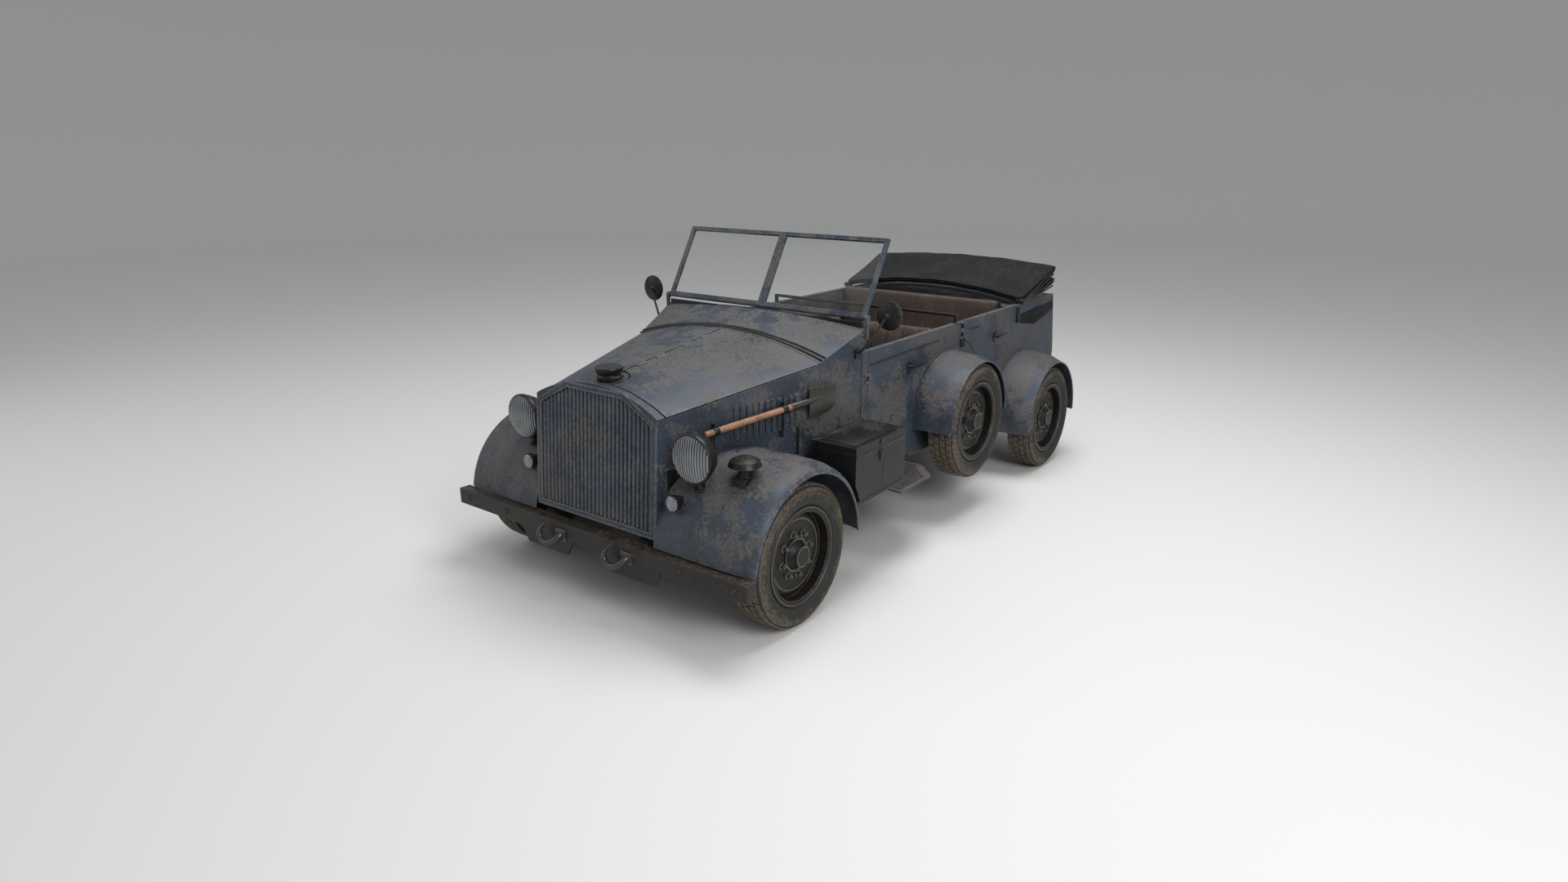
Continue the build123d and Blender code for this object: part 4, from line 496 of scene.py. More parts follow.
@dataclass(frozen=True)
class LampGlass:
    """Thick pressed lamp glass over a bright reflector: grime, and painted shade in the gaps between its
    flutes.
    """

    name: str
    colour: Colour
    # Colour of grime, and of the painted shade in the gaps between the flutes.
    grime: Colour
    flute_middle: float = HEADLAMP_MIDDLE
    flute_pitch: float = 2 * HEADLAMP_RADIUS / HEADLAMP_FLUTES

    def material(self) -> bpy.types.Material:
        """Build the glass.

        Returns:
            The material.
        """
        g = Graph(self.name)
        broad = g.noise(18.0, 4.0, 0.6)
        fine = g.noise(150.0, 3.0, 0.6)
        across = g.node("ShaderNodeSeparateXYZ", {}, {0: g.place}, 0).maths("ABSOLUTE") - self.flute_middle
        crest = (across * (2 * math.pi / self.flute_pitch)).maths("COSINE")
        height = g.height()
        # Painted shade: the gaps between the flutes are darkened, within the headlamp's height only.
        flutes = crest.rise(0.5, -0.6) * height.rise(0.72, 0.74) * height.rise(1.02, 1.00)
        dirt = (broad * 0.6 + fine * 0.4).rise(0.44, 0.68)
        # Grime and painted flute shade together, the stronger of the two.
        shade = (dirt * 0.5).maths("MAXIMUM", flutes * 0.92)
        g.set(Base_Color=g.mix(shade, self.colour, self.grime), Roughness=0.16 + dirt * 0.3,
              Metallic=0.35, Coat_Weight=0.5, Coat_Roughness=0.08)
        return g.material


class Finish(Enum):
    """The car's finishes, by the record's material slots."""

    PAINT = "paint"
    DARK_PAINT = "dark_paint"
    WHEEL_PAINT = "wheel_paint"
    TYRE = "tyre"
    IRON = "iron"
    STEEL = "steel"
    GLASS = "glass"
    LENS = "lens"
    RED_LENS = "red_lens"
    LEATHER = "leather"
    CANVAS = "canvas"
    WOOD = "wood"


DUST = (0.114, 0.098, 0.082)
RECIPES: dict[Finish, Any] = {
    # The fourth colour of each WornPaint is its edge colour, partly rubbed wear and partly painted highlight.
    Finish.PAINT: WornPaint(
        "slate_paint", (0.036, 0.051, 0.076), (0.017, 0.026, 0.042), DUST, (0.20, 0.215, 0.235),
        dust_level=0.54, speckle=0.8),
    Finish.DARK_PAINT: WornPaint(
        "black_paint", (0.0105, 0.0108, 0.0115), (0.006, 0.006, 0.0065), (0.050, 0.042, 0.034),
        (0.085, 0.083, 0.080), dust_level=0.47, speckle=0.35, rough=0.35, metal=0.1, sheen=0.35),
    Finish.WHEEL_PAINT: WornPaint(
        "wheel_paint", (0.011, 0.010, 0.009), (0.006, 0.0055, 0.005), MUD, (0.22, 0.195, 0.17),
        dust_level=0.43, speckle=0.3, sheen=0.3, mud_top=0.2),
    Finish.TYRE: Rubber("tyre_rubber", (0.011, 0.0105, 0.010), (0.160, 0.124, 0.091)),
    Finish.IRON: BareMetal("oily_iron", (0.050, 0.048, 0.046), (0.040, 0.028, 0.020), (0.22, 0.21, 0.20)),
    Finish.STEEL: BareMetal(
        "worn_steel", (0.074, 0.069, 0.063), (0.050, 0.037, 0.027), (0.36, 0.34, 0.31), rough=0.33,
        metal=0.65),
    Finish.GLASS: ClearGlass("pane_glass", (0.26, 0.28, 0.28)),
    # The last colour of each lamp glass is grime and the painted shade between its flutes.
    Finish.LENS: LampGlass("lamp_glass", (0.240, 0.254, 0.270), (0.030, 0.030, 0.030)),
    Finish.RED_LENS: LampGlass("red_lamp_glass", (0.30, 0.012, 0.008), (0.05, 0.010, 0.008)),
    Finish.LEATHER: Hide("brown_leather", (0.044, 0.027, 0.020), (0.115, 0.078, 0.058)),
    Finish.CANVAS: Canvas("hood_canvas", (0.0085, 0.0088, 0.0092), (0.046, 0.045, 0.043)),
    Finish.WOOD: Timber("ash_wood", (0.36, 0.190, 0.105), (0.165, 0.080, 0.042)),
}


class Palette:
    """Every finish as a material, made once."""

    def __init__(self) -> None:
        """Build the materials."""
        self.made = {finish: recipe.material() for finish, recipe in RECIPES.items()}

    def wear(self, piece: Piece, finish: Finish) -> Piece:
        """Give a piece one finish all over.

        Args:
            piece: The piece.
            finish: Its finish.

        Returns:
            The piece.
        """
        piece.data.materials.clear()
        piece.data.materials.append(self.made[finish])
        return piece


class Bench:
    """The modelling operators that the pieces are made with, one active mesh at a time."""

    @staticmethod
    def clear() -> None:
        """Leave edit mode and select nothing."""
        if bpy.context.object and bpy.context.object.mode != "OBJECT":
            bpy.ops.object.mode_set(mode="OBJECT")
        bpy.ops.object.select_all(action="DESELECT")

    @staticmethod
    def pick(*pieces: Piece) -> Piece:
        """Select only these pieces, the first one active.

        Args:
            pieces: The pieces.

        Returns:
            The first piece.
        """
        Bench.clear()
        for piece in pieces:
            piece.select_set(True)
        bpy.context.view_layer.objects.active = pieces[0]
        return pieces[0]

    @staticmethod
    def named(name: str) -> Piece:
        """Name the primitive just added, with its place and size put into its mesh.

        Args:
            name: Its name.

        Returns:
            The piece.
        """
        piece = bpy.context.object
        piece.name = name
        piece.data.name = name
        bpy.ops.object.transform_apply(location=True, rotation=True, scale=True)
        return piece

    @staticmethod
    def modifier(piece: Piece, kind: str, **settings: Any) -> Piece:
        """Add a modifier and apply it.

        Args:
            piece: The piece.
            kind: The modifier's type.
            settings: Its settings.

        Returns:
            The piece.
        """
        Bench.pick(piece)
        made = piece.modifiers.new(kind.lower(), kind)
        for key, value in settings.items():
            setattr(made, key, value)
        bpy.ops.object.modifier_apply(modifier=made.name)
        return piece

    @staticmethod
    def smooth(piece: Piece, degrees: float = 40.0) -> Piece:
        """Shade smooth across edges below an angle.

        Args:
            piece: The piece.
            degrees: The angle.

        Returns:
            The piece.
        """
        Bench.pick(piece)
        bpy.ops.object.shade_smooth_by_angle(angle=math.radians(degrees))
        return piece

    @staticmethod
    def rounded(piece: Piece, width: float, segments: int = 2,
                degrees: float = 35.0) -> Piece:
        """Bevel a piece's sharp edges and shade it.

        Args:
            piece: The piece.
            width: Width of the bevel in metres.
            segments: Faces across it.
            degrees: Edges sharper than this are bevelled.

        Returns:
            The piece.
        """
        Bench.modifier(piece, "BEVEL", width=width, segments=segments, limit_method="ANGLE",
                       angle_limit=math.radians(degrees), use_clamp_overlap=True)
        return Bench.smooth(piece)

    @staticmethod
    def block(name: str, low: Sequence[float], high: Sequence[float], bevel: float) -> Piece:
        """Box between two corners with bevelled edges.

        Args:
            name: Its name.
            low: Lowest corner.
            high: Highest corner.
            bevel: Width of the bevel.

        Returns:
            The piece.
        """
        Bench.clear()
        low, high = Vector(low), Vector(high)
        bpy.ops.mesh.primitive_cube_add(size=1.0, location=(low + high) / 2, scale=high - low)
        return Bench.rounded(Bench.named(name), bevel)

    @staticmethod
    def plate(name: str, outline: Sequence[Sequence[float]], thickness: Sequence[float],
              bevel: float) -> Piece:
        """Flat plate: an outline extruded along a vector.

        Args:
            name: Its name.
            outline: Corner points in order.
            thickness: The vector it is extruded by.
            bevel: Width of its bevelled edges.

        Returns:
            The piece.
        """
        piece = Bench.chain(name, outline)
        bpy.ops.object.mode_set(mode="EDIT")
        bpy.ops.mesh.select_all(action="SELECT")
        bpy.ops.mesh.edge_face_add()
        bpy.ops.mesh.extrude_region_move(TRANSFORM_OT_translate={"value": tuple(thickness)})
        bpy.ops.mesh.select_all(action="SELECT")
        bpy.ops.mesh.normals_make_consistent(inside=False)
        bpy.ops.object.mode_set(mode="OBJECT")
        return Bench.rounded(piece, bevel) if bevel else piece

    @staticmethod
    def chain(name: str, points: Sequence[Sequence[float]]) -> Piece:
        """Open chain of edges, one vertex extruded from point to point.

        Args:
            name: Its name.
            points: The points.

        Returns:
            The piece, in object mode.
        """
        Bench.clear()
        points = [Vector(point) for point in points]
        bpy.ops.mesh.primitive_plane_add(size=0.01, location=points[0])
        piece = Bench.named(name)
        bpy.ops.object.mode_set(mode="EDIT")
        bpy.ops.mesh.select_all(action="SELECT")
        bpy.ops.mesh.merge(type="CENTER")
        for start, end in zip(points, points[1:]):
            bpy.ops.mesh.extrude_vertices_move(TRANSFORM_OT_translate={"value": end - start})
        bpy.ops.object.mode_set(mode="OBJECT")
        return piece

    @staticmethod
    def lathe(name: str, profile: Profile, steps: int, bevel: float = 0.0,
              closed: bool = False) -> Piece:
        """Turned piece about the X axis through the origin.

        Args:
            name: Its name.
            profile: Points as (place along the axis, radius).
            steps: Faces round the turn.
            bevel: Width of bevelled corners, none if 0.
            closed: Whether the profile's last point joins its first, as on a ring.

        Returns:
            The piece.
        """
        points = [(x, 0.0, radius) for x, radius in profile]
        if closed:
            points.append(points[0])
        piece = Bench.chain(name, points)
        bpy.ops.object.mode_set(mode="EDIT")
        bpy.ops.mesh.select_all(action="SELECT")
        bpy.ops.mesh.spin(steps=steps, angle=2 * math.pi, center=(0, 0, 0), axis=(1, 0, 0))
        bpy.ops.mesh.select_all(action="SELECT")
        bpy.ops.mesh.remove_doubles(threshold=1e-5)
        bpy.ops.mesh.normals_make_consistent(inside=False)
        bpy.ops.object.mode_set(mode="OBJECT")
        if bevel:
            return Bench.rounded(piece, bevel, 2, 25.0)
        return Bench.smooth(piece)

    @staticmethod
    def tube(name: str, points: Sequence[Sequence[float]], radius: float, sides: int = 10,
             radii: Optional[Sequence[float]] = None) -> Piece:
        """Round bar along a smooth line.

        Args:
            name: Its name.
            points: Points of the line.
            radius: Its radius.
            sides: Faces round it.
            radii: Share of the radius at each point, for a tapered bar.

        Returns:
            The piece, closed at its ends.
        """
        Bench.clear()
        bpy.ops.curve.primitive_nurbs_path_add()
        piece = bpy.context.object
        piece.location = (0, 0, 0)
        curve = piece.data
        curve.splines.clear()
        line = curve.splines.new("NURBS")
        line.points.add(len(points) - 1)
        for index, point in enumerate(points):
            line.points[index].co = (*point, 1.0)
            line.points[index].radius = radii[index] if radii else 1.0
        line.order_u = 3
        line.use_endpoint_u = True
        line.resolution_u = 6
        curve.dimensions = "3D"
        curve.bevel_depth = radius
        curve.bevel_resolution = max(0, sides // 4 - 1)
        curve.use_fill_caps = True
        bpy.ops.object.convert(target="MESH")
        return Bench.smooth(Bench.named(name), 50.0)

    @staticmethod
    def moved(piece: Piece, matrix: Matrix) -> Piece:
        """Move a piece's mesh, turning its faces back out after a mirror.

        Args:
            piece: The piece.
            matrix: The move.

        Returns:
            The piece.
        """
        piece.data.transform(matrix)
        if matrix.determinant() < 0:
            piece.data.flip_normals()
        return piece

    @staticmethod
    def copy(piece: Piece, name: str, matrix: Matrix) -> Piece:
        """Copy of a piece with its own mesh.

        Args:
            piece: The piece.
            name: The copy's name.
            matrix: The copy's move.

        Returns:
            The copy.
        """
        made = piece.copy()
        made.data = piece.data.copy()
        made.name = name
        made.data.name = name
        bpy.context.scene.collection.objects.link(made)
        return Bench.moved(made, matrix)

    @staticmethod
    def turned(name: str, profile: Profile, steps: int, place: Matrix) -> Piece:
        """Turned piece moved from the X axis to its place."""
        return Bench.moved(Bench.lathe(name, profile, steps), place)

    @staticmethod
    def both(pieces: Sequence[Piece]) -> list[Piece]:
        """Pieces of the left side and their mirrored copies for the right."""
        return [*pieces, *[Bench.copy(piece, piece.name, MIRROR) for piece in pieces]]

    @staticmethod
    def join(name: str, pieces: Sequence[Piece]) -> Piece:
        """Several pieces as one.

        Args:
            name: The joined piece's name.
            pieces: The pieces.

        Returns:
            The joined piece.
        """
        piece = Bench.pick(*pieces)
        if len(pieces) > 1:
            bpy.ops.object.join()
        piece.name = name
        piece.data.name = name
        return piece


MIRROR = Matrix.Scale(-1, 4, (1, 0, 0))
FORWARD = Matrix.Rotation(math.radians(-90), 4, "Z")
BACKWARD = Matrix.Rotation(math.radians(90), 4, "Z")
UPWARD = Matrix.Rotation(math.radians(-90), 4, "Y")


def ring(count: int, first: float = 0.0) -> Iterable[Matrix]:
    """Turns about X that share a full circle evenly.

    Args:
        count: How many.
        first: Angle of the first in degrees.

    Returns:
        The turns.
    """
    for index in range(count):
        yield Matrix.Rotation(math.radians(first) + 2 * math.pi * index / count, 4, "X")


@dataclass
class Assembly:
    """One sub-assembly of the car, with the frame's solids and the finishes to hand."""

    frame: dict[str, Any]
    palette: Palette

    def fit(self, piece: Piece, body: str, finish: Finish, *nodes: str) -> Piece:
        """Finish a piece and hang it on a body.

        Args:
            piece: The piece.
            body: The body it rides on.
            finish: Its finish.
            nodes: The solids that it stands for.

        Returns:
            The piece.
        """
        self.palette.wear(piece, finish)
        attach(piece, body)
        if nodes:
            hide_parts(*nodes)
        log.info("%s on %s, %d faces", piece.name, body, len(piece.data.polygons))
        return piece

    def middle(self, node: str) -> Vector:
        """Middle of a solid's box."""
        low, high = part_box(node)
        return (low + high) / 2

    def at(self, x: float, station: float, z: float) -> Vector:
        """Place at a distance behind the front axle."""
        return Vector((x, self.middle("rim_front_left").y + station, z))


@dataclass
class Panels(Assembly):
    """The solids that keep their shape: each takes its finish and softened edges."""

    edge: float = 0.0035
    sharp: tuple[str, ...] = ("grille_slats", "windscreen_glass", "radiator_core")

    def dress(self) -> None:
        """Finish every solid by its material slot and soften its edges."""
        for part in self.frame["record"]["subparts"]:
            node = self.frame["nodes"][part["node"]]
            self.palette.wear(node, Finish(part["material_slot"]))
            if part["node"] not in self.sharp:
                self.soften(node, self.edge)

    def soften(self, node: Piece, width: float) -> None:
        """Live modifiers that weld a solid's triangles, merge its flats and bevel its edges.

        Args:
            node: The solid.
            width: Width of the bevel.
        """
        weld = node.modifiers.new("weld", "WELD")
        weld.merge_threshold = 1e-5
        flats = node.modifiers.new("flats", "DECIMATE")
        flats.decimate_type = "DISSOLVE"
        flats.angle_limit = math.radians(0.3)
        bevel = node.modifiers.new("bevel", "BEVEL")
        bevel.width = width
        bevel.segments = 2
        bevel.limit_method = "ANGLE"
        bevel.angle_limit = math.radians(38.0)
        bevel.use_clamp_overlap = True
        even = node.modifiers.new("even", "WEIGHTED_NORMAL")
        even.weight = 80


@dataclass
class Tyre:
    """One tyre: a turned casing with sidewall ribs and brick-pattern tread blocks."""

    radius: float
    width: float
    seat: float
    tread_half: float = 0.076
    block_depth: float = 0.010
    rows: int = 4
    count: int = 46
    gap: float = 0.006
    block_border: float = 0.0035
    corner_drop: float = 0.0025
    crown: float = 0.003
    steps: int = 96

    def casing(self) -> Piece:
        """Turn the casing from bead to tread and back.

        Returns:
            The casing about the X axis.
        """
        half = self.width / 2
        base = self.radius - self.block_depth
        bead = self.seat + 0.018
        outer = [
            # place along the axle, radius
            (half - 0.032, self.seat + 0.0005), (half - 0.031, bead), (half - 0.018, bead + 0.010),
            (half - 0.0085, bead + 0.022), (half - 0.0055, bead + 0.034), (half - 0.0025, bead + 0.036),
            (half - 0.0020, bead + 0.041), (half - 0.0035, bead + 0.043), (half - 0.0005, bead + 0.055),
            (half - 0.0008, base - 0.052), (half - 0.0035, base - 0.040), (half - 0.0010, base - 0.037),
            (half - 0.0016, base - 0.031), (half - 0.0060, base - 0.028), (half - 0.0110, base - 0.012),
            (self.tread_half, base - 0.003), (self.tread_half * 0.5, base),
        ]
        inner = [(-x, radius) for x, radius in reversed(outer)]
        return Bench.lathe("casing", outer + inner, self.steps, closed=True)

    def block(self) -> Piece:
        """One tread block with chamfered corners, at the top of the wheel.

        Returns:
            The block.
        """
        wide = 2 * self.tread_half / self.rows - self.gap
        pitch = 2 * math.pi * self.radius / self.count - self.gap
        low, high = self.radius - self.block_depth - 0.004, self.radius - 0.0006
        middle = (low + high) / 2
        Bench.clear()
        bpy.ops.mesh.primitive_cube_add(size=1.0, location=(0, 0, middle), scale=(wide, pitch, high - low))
        piece = Bench.named("block")
        bpy.ops.object.mode_set(mode="EDIT")
        bpy.ops.mesh.select_all(action="DESELECT")
        bpy.ops.object.mode_set(mode="OBJECT")
        for face in piece.data.polygons:
            face.select = face.normal.z > 0.5
        bpy.ops.object.mode_set(mode="EDIT")
        bpy.ops.mesh.inset(thickness=self.block_border, depth=0.0)
        bpy.ops.object.mode_set(mode="OBJECT")
        for vertex in piece.data.vertices:
            edge = abs(abs(vertex.co.x) - wide / 2) < 1e-5 and abs(abs(vertex.co.y) - pitch / 2) < 1e-5
            if edge and vertex.co.z > middle:
                vertex.co.z -= self.corner_drop
        return piece

    def build(self) -> Piece:
        """Casing and tread as one mesh with its mud attribute.

        Returns:
            The tyre about the X axis through the origin.
        """
        block = self.block()
        pitch = 2 * self.tread_half / self.rows
        parts = [self.casing()]
        for row in range(self.rows):
            shift = Matrix.Translation((-self.tread_half + (row + 0.5) * pitch, 0, 0))
            drop = abs(row - (self.rows - 1) / 2) / (self.rows / 2)
            shift = Matrix.Translation((0, 0, -self.crown * drop)) @ shift
            first = 180.0 / self.count * (row % 2)
            parts += [Bench.copy(block, "block", turn @ shift) for turn in ring(self.count, first)]
        bpy.data.objects.remove(block)
        tyre = Bench.join("tyre", parts)
        self.soil(tyre)
        return tyre

    def soil(self, tyre: Piece) -> None:
        """Mark where mud lies: on the blocks' tops and the shoulders, less in the grooves and by the rim.

        Args:
            tyre: The tyre.
        """
        marks = tyre.data.attributes.new("mud", "FLOAT", "POINT")
        base = self.radius - self.block_depth
        for vertex in tyre.data.vertices:
            radius = math.hypot(vertex.co.y, vertex.co.z)
            reach = (radius - self.seat) / (self.radius - self.seat)
            groove = abs(vertex.co.x) < self.tread_half and radius < base + 0.004
            marks.data[vertex.index].value = 0.05 if groove else max(0.0, min(1.0, reach * 1.15 - 0.1))


@dataclass
class Wheels(Assembly):
    """Six road and spare wheels: tyre, rim bead, nuts and hub ring on each rim."""

    nuts: int = 8
    nut_circle: float = 0.108
    nut_size: float = 0.0135
    bead_radius: float = 0.0075
    rim_half: float = 0.075
    disc: float = 0.0320
    rim_lip: float = 0.018

    def dress(self) -> None:
        """Model one wheel's pieces and copy them to each axle end."""
        low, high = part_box("tyre_front_left")
        rim_low, rim_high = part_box("rim_front_left")
        radius = (high.z - low.z) / 2
        flange = (rim_high.z - rim_low.z) / 2
        tyre = Tyre(radius, high.x - low.x, flange - self.rim_lip).build()
        trim = self.trim(flange, rim_high.x - (low.x + high.x) / 2)
        for axle in ("front", "spare", "rear"):
            for side, sign in SIDES:
                centre = self.middle(f"tyre_{axle}_{side}")
                place = Matrix.Translation(centre) @ (Matrix.Identity(4) if sign > 0 else MIRROR)
                body = f"wheel_{axle}_{side}"
                self.fit(Bench.copy(tyre, f"tyre_tread_{axle}_{side}", place), body, Finish.TYRE,
                         f"tyre_{axle}_{side}")
                self.fit(Bench.copy(trim, f"wheel_trim_{axle}_{side}", place), body, Finish.STEEL)
        bpy.data.objects.remove(tyre)
        bpy.data.objects.remove(trim)

    def trim(self, flange: float, hub_face: float) -> Piece:
        """Rolled flange bead, hub rings and nuts of one wheel.

        Args:
            flange: Radius of the rim's flange.
            hub_face: Place of the hub cap's outer face along the axle.

        Returns:
            The trim about the X axis through the origin.
        """
        bead = self.bead_radius
        round_bead = [(self.rim_half - 0.002 + bead * math.cos(turn), flange - 0.004 + bead * math.sin(turn))
                      for turn in [math.radians(30 * step) for step in range(12)]]
        parts = [Bench.lathe("flange_bead", round_bead, 72, closed=True)]
        rings = [
            # inner radius, outer radius, face along the axle, height
            (0.172, 0.182, self.disc, 0.0035),
            (0.0735, 0.0850, self.disc, 0.0100),
            (0.0440, 0.0520, hub_face - 0.004, 0.0060),
        ]
        for inner, outer, face, rise in rings:
            low, top = face - 0.002, face + rise
            profile = [(low, inner), (top, inner), (top, outer), (low, outer)]
            parts.append(Bench.lathe("hub_ring", profile, 48, 0.0015, closed=True))
        nut = self.nut(self.disc)
        parts += [Bench.copy(nut, "nut", turn) for turn in ring(self.nuts, 11.0)]
        bpy.data.objects.remove(nut)
        return Bench.join("wheel_trim", parts)

    def nut(self, face: float) -> Piece:
        """Wheel nut with its stud on a washer boss, above the axle line.

        Args:
            face: Place of the wheel disc's face along the axle.

        Returns:
            The nut.
        """
        Bench.clear()
        bpy.ops.mesh.primitive_cylinder_add(vertices=6, radius=self.nut_size, depth=0.018,
                                            location=(face + 0.012, 0, self.nut_circle),
                                            rotation=(0, math.radians(90), 0))
        nut = Bench.rounded(Bench.named("nut"), 0.003)
        washer = [(0.0, 0.0), (0.0, 0.021), (0.004, 0.021), (0.007, 0.016), (0.007, 0.0)]
        boss = Bench.turned("boss", washer, 14, Matrix.Translation((face - 0.001, 0, self.nut_circle)))
        thread = [(0.0, 0.0), (0.0, 0.006), (0.011, 0.006), (0.013, 0.004), (0.013, 0.0)]
        stud = Bench.turned("stud", thread, 10, Matrix.Translation((face + 0.017, 0, self.nut_circle)))
        return Bench.join("nut", [nut, boss, stud])


@dataclass
class Lamps(Assembly):
    """Headlamps with fluted glass, ribbed side lamps and the hooded lamp on the left mudguard."""

    head: Spot = (HEADLAMP_MIDDLE, -0.362, 0.862)
    side: Spot = (0.510, -0.412, 0.646)
    hooded: Spot = (0.775, -0.205, 0.868)
    head_bulge: float = 0.019
    side_bulge: float = 0.010
    side_flutes: int = 7
    side_radius: float = 0.0355
    guard_radius: float = 0.460
    axle_height: float = 0.356

    def dress(self) -> None:
        """Build the lamps of one side, mirror them, and add the hooded lamp."""
        bowls = [*self.head_bowl(), *self.side_bowl()]
        glasses = self.glass(self.at(*self.head), HEADLAMP_RADIUS, self.head_bulge, HEADLAMP_FLUTES, True)
        glasses += self.glass(self.at(*self.side), self.side_radius, self.side_bulge, self.side_flutes, False)
        bowls = [*Bench.both(bowls), *self.hooded_lamp()]
        self.fit(Bench.join("lamp_bowls", bowls), "car", Finish.DARK_PAINT, "lamp_housings")
        self.fit(Bench.join("lamp_glasses", Bench.both(glasses)), "car", Finish.LENS, "lamp_lenses")

    def guard_top(self, station: float) -> float:
        """Height of the front mudguard's crown at a station."""
        return self.axle_height + math.sqrt(self.guard_radius ** 2 - station ** 2)

    def head_bowl(self) -> list[Piece]:
        """Left headlamp's bowl, rim and post.

        Returns:
            The pieces.
        """
        place = Matrix.Translation(self.at(*self.head)) @ FORWARD
        bowl = [(-0.150, 0.0), (-0.149, 0.020), (-0.138, 0.037), (-0.112, 0.066), (-0.080, 0.091),
                (-0.050, 0.106), (-0.026, 0.1125), (-0.026, 0.0)]
        rim = [(-0.026, 0.100), (-0.026, 0.115), (-0.020, 0.1180), (-0.006, 0.1180), (0.001, 0.1150),
               (0.001, 0.1100), (-0.004, 0.1085), (-0.010, 0.100)]
        parts = [Bench.turned("bowl", bowl, 48, place),
                 Bench.moved(Bench.lathe("rim", rim, 48, 0.001, closed=True), place)]
        x, station, height = self.head
        foot = self.guard_top(station + 0.062) - 0.004
        rise = height - 0.095 - foot
        post = [(0.0, 0.0), (0.0, 0.030), (0.006, 0.030), (0.010, 0.021), (rise * 0.8, 0.018), (rise, 0.026),
                (rise, 0.0)]
        upright = Matrix.Translation(self.at(x, station + 0.062, foot)) @ UPWARD
        parts.append(Bench.turned("post", post, 20, upright))
        return parts

    def side_bowl(self) -> list[Piece]:
        """Left side lamp's bowl and bracket.

        Returns:
            The pieces.
        """
        x, station, height = self.side
        place = Matrix.Translation(self.at(*self.side)) @ FORWARD
        bowl = [(-0.070, 0.0), (-0.070, 0.012), (-0.060, 0.023), (-0.034, 0.034), (-0.014, 0.0395),
                (-0.002, 0.0405), (0.0015, 0.0385), (0.0, 0.035), (-0.006, 0.0)]
        foot = self.at(x, station + 0.075, self.guard_top(station + 0.075) - 0.004)
        bracket = [self.at(x, station + 0.035, height - 0.020), self.at(x, station + 0.050, height - 0.045),
                   foot]
        return [Bench.turned("side_bowl", bowl, 32, place), Bench.tube("side_bracket", bracket, 0.012)]

    def glass(self, place: Vector, radius: float, bulge: float, ribs: int,
              upright: bool) -> list[Piece]:
        """Domed glass with a row of ribs.

        Args:
            place: Middle of its rim.
            radius: Its radius.
            bulge: How far its middle stands out.
            ribs: How many ribs cross it.
            upright: Whether the ribs stand upright or lie level.

        Returns:
            The pieces.
        """
        def dome(reach: float) -> float:
            """How far the glass stands out at a share of its radius."""
            return bulge * (1.0 - reach ** 2)

        profile = [(dome(step / 8), radius * step / 8) for step in range(9)]
        profile = profile + [(-0.006, radius), (-0.006, 0.0)]
        parts = [Bench.turned("glass", profile, 40, Matrix.Translation(place) @ FORWARD)]
        pitch = 2 * radius / ribs
        for index in range(ribs):
            across = -radius + (index + 0.5) * pitch
            reach = math.sqrt(max(radius ** 2 - across ** 2, 0.0)) * 0.97
            line = []
            for step in range(7):
                along = reach * (step / 3 - 1)
                out = dome(math.hypot(across, along) / radius)
                x, z = (across, along) if upright else (along, across)
                line.append(place + Vector((x, -out + pitch * 0.10, z)))
            parts.append(Bench.tube("rib", line, pitch * 0.42, 8))
        return parts

    def hooded_lamp(self) -> list[Piece]:
        """Blackout lamp: a flared hood on a tapered neck and a box foot.

        Returns:
            The pieces.
        """
        x, station, top = self.hooded
        foot = self.guard_top(station - 0.045) - 0.010
        hood = [(0.0, 0.0), (0.0, 0.044), (-0.003, 0.047), (-0.011, 0.066), (-0.014, 0.069), (-0.030, 0.0755),
                (-0.036, 0.079), (-0.038, 0.078), (-0.038, 0.074), (-0.034, 0.0)]
        neck = [(-0.090, 0.0), (-0.090, 0.034), (-0.084, 0.034), (-0.034, 0.021), (-0.030, 0.021),
                (-0.030, 0.0)]
        place = Matrix.Translation(self.at(x, station, top)) @ UPWARD
        lid = Bench.turned("hood", hood, 32, place)
        column = Bench.turned("neck", neck, 12, place)
        box = Bench.block("foot", self.at(x - 0.037, station - 0.045, foot),
                          self.at(x + 0.037, station + 0.037, top - 0.089), 0.004)
        base = Bench.block("base", self.at(x - 0.046, station - 0.052, foot - 0.004),
                           self.at(x + 0.046, station + 0.044, foot + 0.014), 0.003)
        return [lid, column, box, base]


@dataclass
class OnBonnetSide(Assembly):
    """A sub-assembly that lies on the left bonnet side's plane."""

    plane_front: Span = (0.421, -0.341)
    plane_rear: Span = (0.650, 0.560)

    def spot(self, station: float, height: float, out: float) -> Vector:
        """A place on the plane or standing out from it.

        Args:
            station: Distance behind the front axle.
            height: Height above the ground.
            out: Distance outwards from the plane.

        Returns:
            The place.
        """
        share = (station - self.plane_front[1]) / (self.plane_rear[1] - self.plane_front[1])
        x = self.plane_front[0] + share * (self.plane_rear[0] - self.plane_front[0])
        return self.at(x, station, height) + self.outward() * out

    def outward(self) -> Vector:
        """Direction out of the plane."""
        (front_x, front_y), (rear_x, rear_y) = self.plane_front, self.plane_rear
        return Vector((rear_y - front_y, front_x - rear_x, 0)).normalized()


